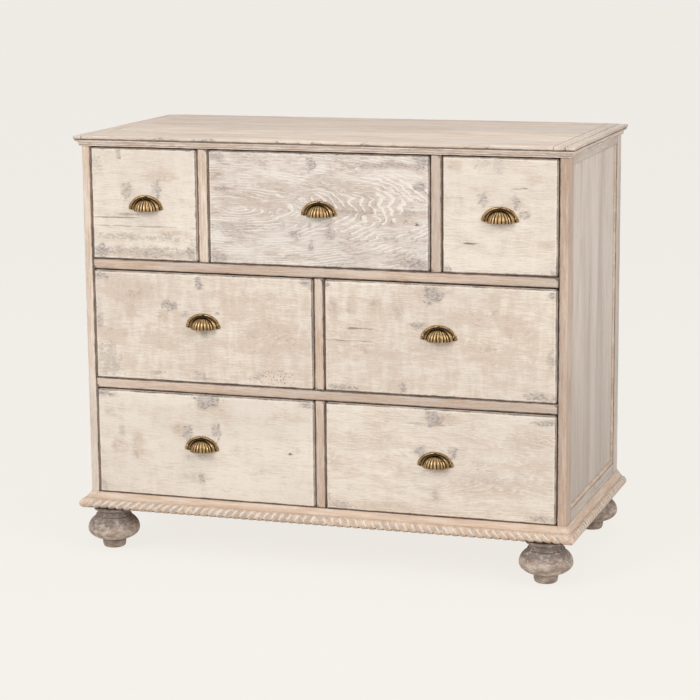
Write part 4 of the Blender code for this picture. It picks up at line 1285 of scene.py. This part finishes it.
def make_carcase_boards(level, upright, iron):
    """The planked back with its nails, the back top rail, and the boards under each row."""
    low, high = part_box("back_panel")
    count, nail_sink = 9, 0.0006
    settle(boards("back_planks", low, high, 0, count, gap=0.0012), upright, "raw_pine", "back_panel")
    width = (high.x - low.x) / count
    levels = (low.z + 0.025, 0.388, 0.663, high.z - 0.010)
    across = [low.x + (number + share) * width for number in range(count) for share in (0.18, 0.82)]
    places = [(x, high.y - nail_sink, z) for x in across for z in levels]
    settle(nail_heads("back_nails", places, Y_AXIS, 0.0030, 0.0006), iron, "antique_brass")
    settle(boards("back_rail_board", *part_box("back_top_rail"), 2, 1), level, "raw_pine", "back_top_rail")
    for node in ("bottom_board", "lower_dust_board", "upper_dust_board"):
        settle(boards(f"{node}_planks", *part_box(node), 1, 4), level, "raw_pine", node)


# ---------------- studio

BACKDROP = colour(245, 241, 235)
SKY = colour(244, 248, 255)
SKY_STRENGTH = 0.45
FLOOR_GLOW = 0.90


def backdrop_mix(tree, leaving, one, other, share):
    """Mixes two shaders, the second by this share where a ray comes from the camera, straight or through
    or off a surface."""
    path = tree.nodes.new("ShaderNodeLightPath").outputs
    seen = greatest([Wire(path[f"Is {kind} Ray"]) for kind in ("Camera", "Glossy", "Transmission")])
    mixed = seen.node("MixShader", {0: share * seen, 1: Wire(one.outputs[0]), 2: Wire(other.outputs[0])})
    feed(leaving.inputs["Surface"], mixed)


def make_studio():
    bpy.ops.mesh.primitive_circle_add(vertices=96, radius=60, fill_type="NGON", location=(0, 0, -0.5 * MM))
    floor = as_made("studio_floor")
    matt = {"Base Color": BACKDROP, "Roughness": 1.0, "Specular IOR Level": 0.0}
    material = new_material("studio_floor", **matt)[0]
    tree = material.node_tree
    glow = tree.nodes.new("ShaderNodeEmission")
    glow.inputs["Color"].default_value = BACKDROP
    backdrop_mix(tree, tree.nodes["Material Output"], tree.nodes["Principled BSDF"], glow, FLOOR_GLOW)
    floor.data.materials.append(material)

    world = bpy.data.worlds.new("studio_air")
    bpy.context.scene.world = world
    world.use_nodes = True
    tree = world.node_tree
    tree.nodes.clear()
    soft, plain = (tree.nodes.new("ShaderNodeBackground") for _ in range(2))
    soft.inputs["Color"].default_value = SKY
    soft.inputs["Strength"].default_value = SKY_STRENGTH
    plain.inputs["Color"].default_value = BACKDROP
    backdrop_mix(tree, tree.nodes.new("ShaderNodeOutputWorld"), soft, plain, 1.0)


def make_light(name, place, target, size, power):
    lamp = bpy.data.lights.new(name, "AREA")
    lamp.shape = "DISK"
    lamp.size = size
    lamp.energy = power
    thing = bpy.data.objects.new(name, lamp)
    bpy.context.scene.collection.objects.link(thing)
    thing.location = place
    thing.rotation_euler = (Vector(target) - Vector(place)).to_track_quat("-Z", "Y").to_euler()


# Each lamp's name, its place, what it faces, its size and its power
LAMPS = (
    ("key", (-2.4, -4.4, 3.2), (0, 0, 0.42), 3.0, 126),
    ("fill", (3.1, -1.7, 2.5), (0, 0, 0.45), 2.0, 51),
    ("overhead", (0.1, -0.3, 3.0), (0, 0, 0.5), 2.6, 17),
)

# The camera's place, from the middle of the front, and its turn, dip and roll in degrees
CAMERA_PLACE = (1.628, -4.689, 1.441)
CAMERA_TURN, CAMERA_DIP, CAMERA_ROLL = 18.36, 10.84, -0.51
CAMERA_LENS, SENSOR_WIDTH = 117.7, 36.0


def make_camera():
    camera = bpy.data.cameras.new("camera")
    camera.lens = CAMERA_LENS
    camera.sensor_width = SENSOR_WIDTH
    thing = bpy.data.objects.new("camera", camera)
    bpy.context.scene.collection.objects.link(thing)
    x, y, z = CAMERA_PLACE
    thing.matrix_world = Matrix.Translation((x, y + FRONT_Y, z))
    for degrees, axis in ((CAMERA_TURN, "Z"), (90 - CAMERA_DIP, "X"), (CAMERA_ROLL, "Z")):
        thing.matrix_world = thing.matrix_world @ Matrix.Rotation(math.radians(degrees), 4, axis)
    bpy.context.scene.camera = thing


bpy.context.scene.view_settings.view_transform = "Standard"

trim_wash = painted_relief(
    "rubbed_trim", 40.0, ((224, 206, 188), (200, 172, 148), (170, 162, 156)), grey_share=0.35
)
# The cornice's dark tone is for specks and the painted shade in its crease and under the nosing
cornice_wash = painted_relief(
    "cornice_wash", 60.0, ((243, 229, 216), (212, 189, 170), (150, 143, 140)), colour(112, 98, 88),
    grey_share=0.60, drawn=True,
)
strip_wash = painted_relief(
    "strip_wash", 46.0, ((226, 208, 189), (208, 180, 155), (186, 172, 160)), rust=WARM_RUST, grey_share=0.25,
    drawn=True,
)
# The rope's dark tone is for specks and the painted shade of its notches and under the strip
rope_wash = painted_relief(
    "rope_wash", 60.0, ((228, 209, 190), (208, 180, 154), (168, 159, 152)), colour(50, 37, 29), WARM_RUST,
    grey_share=0.55,
)
# The feet's grey tone is worn paint and the painted shade over the upper ball; their dark one specks and the
# painted shade in their creases
foot_paint = painted_relief(
    "foot_paint", 48.0, ((212, 196, 181), (150, 130, 115), (103, 95, 91)), colour(66, 53, 45),
    colour(162, 126, 100), grey_share=0.46, turned=1.5,
)
nail_iron = painted_relief("nail_iron", 300.0, ((104, 92, 82), (74, 62, 54), (90, 84, 80)))
raw_look = partial(
    limed_wood, tones=RAW_PINE, stretch=2.5, brush=0.0, ring_show=0.35, edges=(0.0016, 0.003, 0.6)
)
raw_level = raw_look("raw_pine_level", FACING, seed=15.0)
raw_deep = raw_look("raw_pine_deep", DEEP, seed=16.0)
raw_upright = raw_look("raw_pine_upright", UPRIGHT, seed=17.0)

make_drawer_fronts()
make_frame_timbers()
make_sides()
make_side_beads(trim_wash)
make_top()
make_cornice(cornice_wash)
make_base(rope_wash, strip_wash)
make_feet(foot_paint)
make_pulls(old_brass("rubbed_brass"))
make_drawer_boxes(raw_level, raw_deep, nail_iron)
make_carcase_boards(raw_level, raw_upright, nail_iron)
make_studio()
for lamp in LAMPS:
    make_light(*lamp)
make_camera()
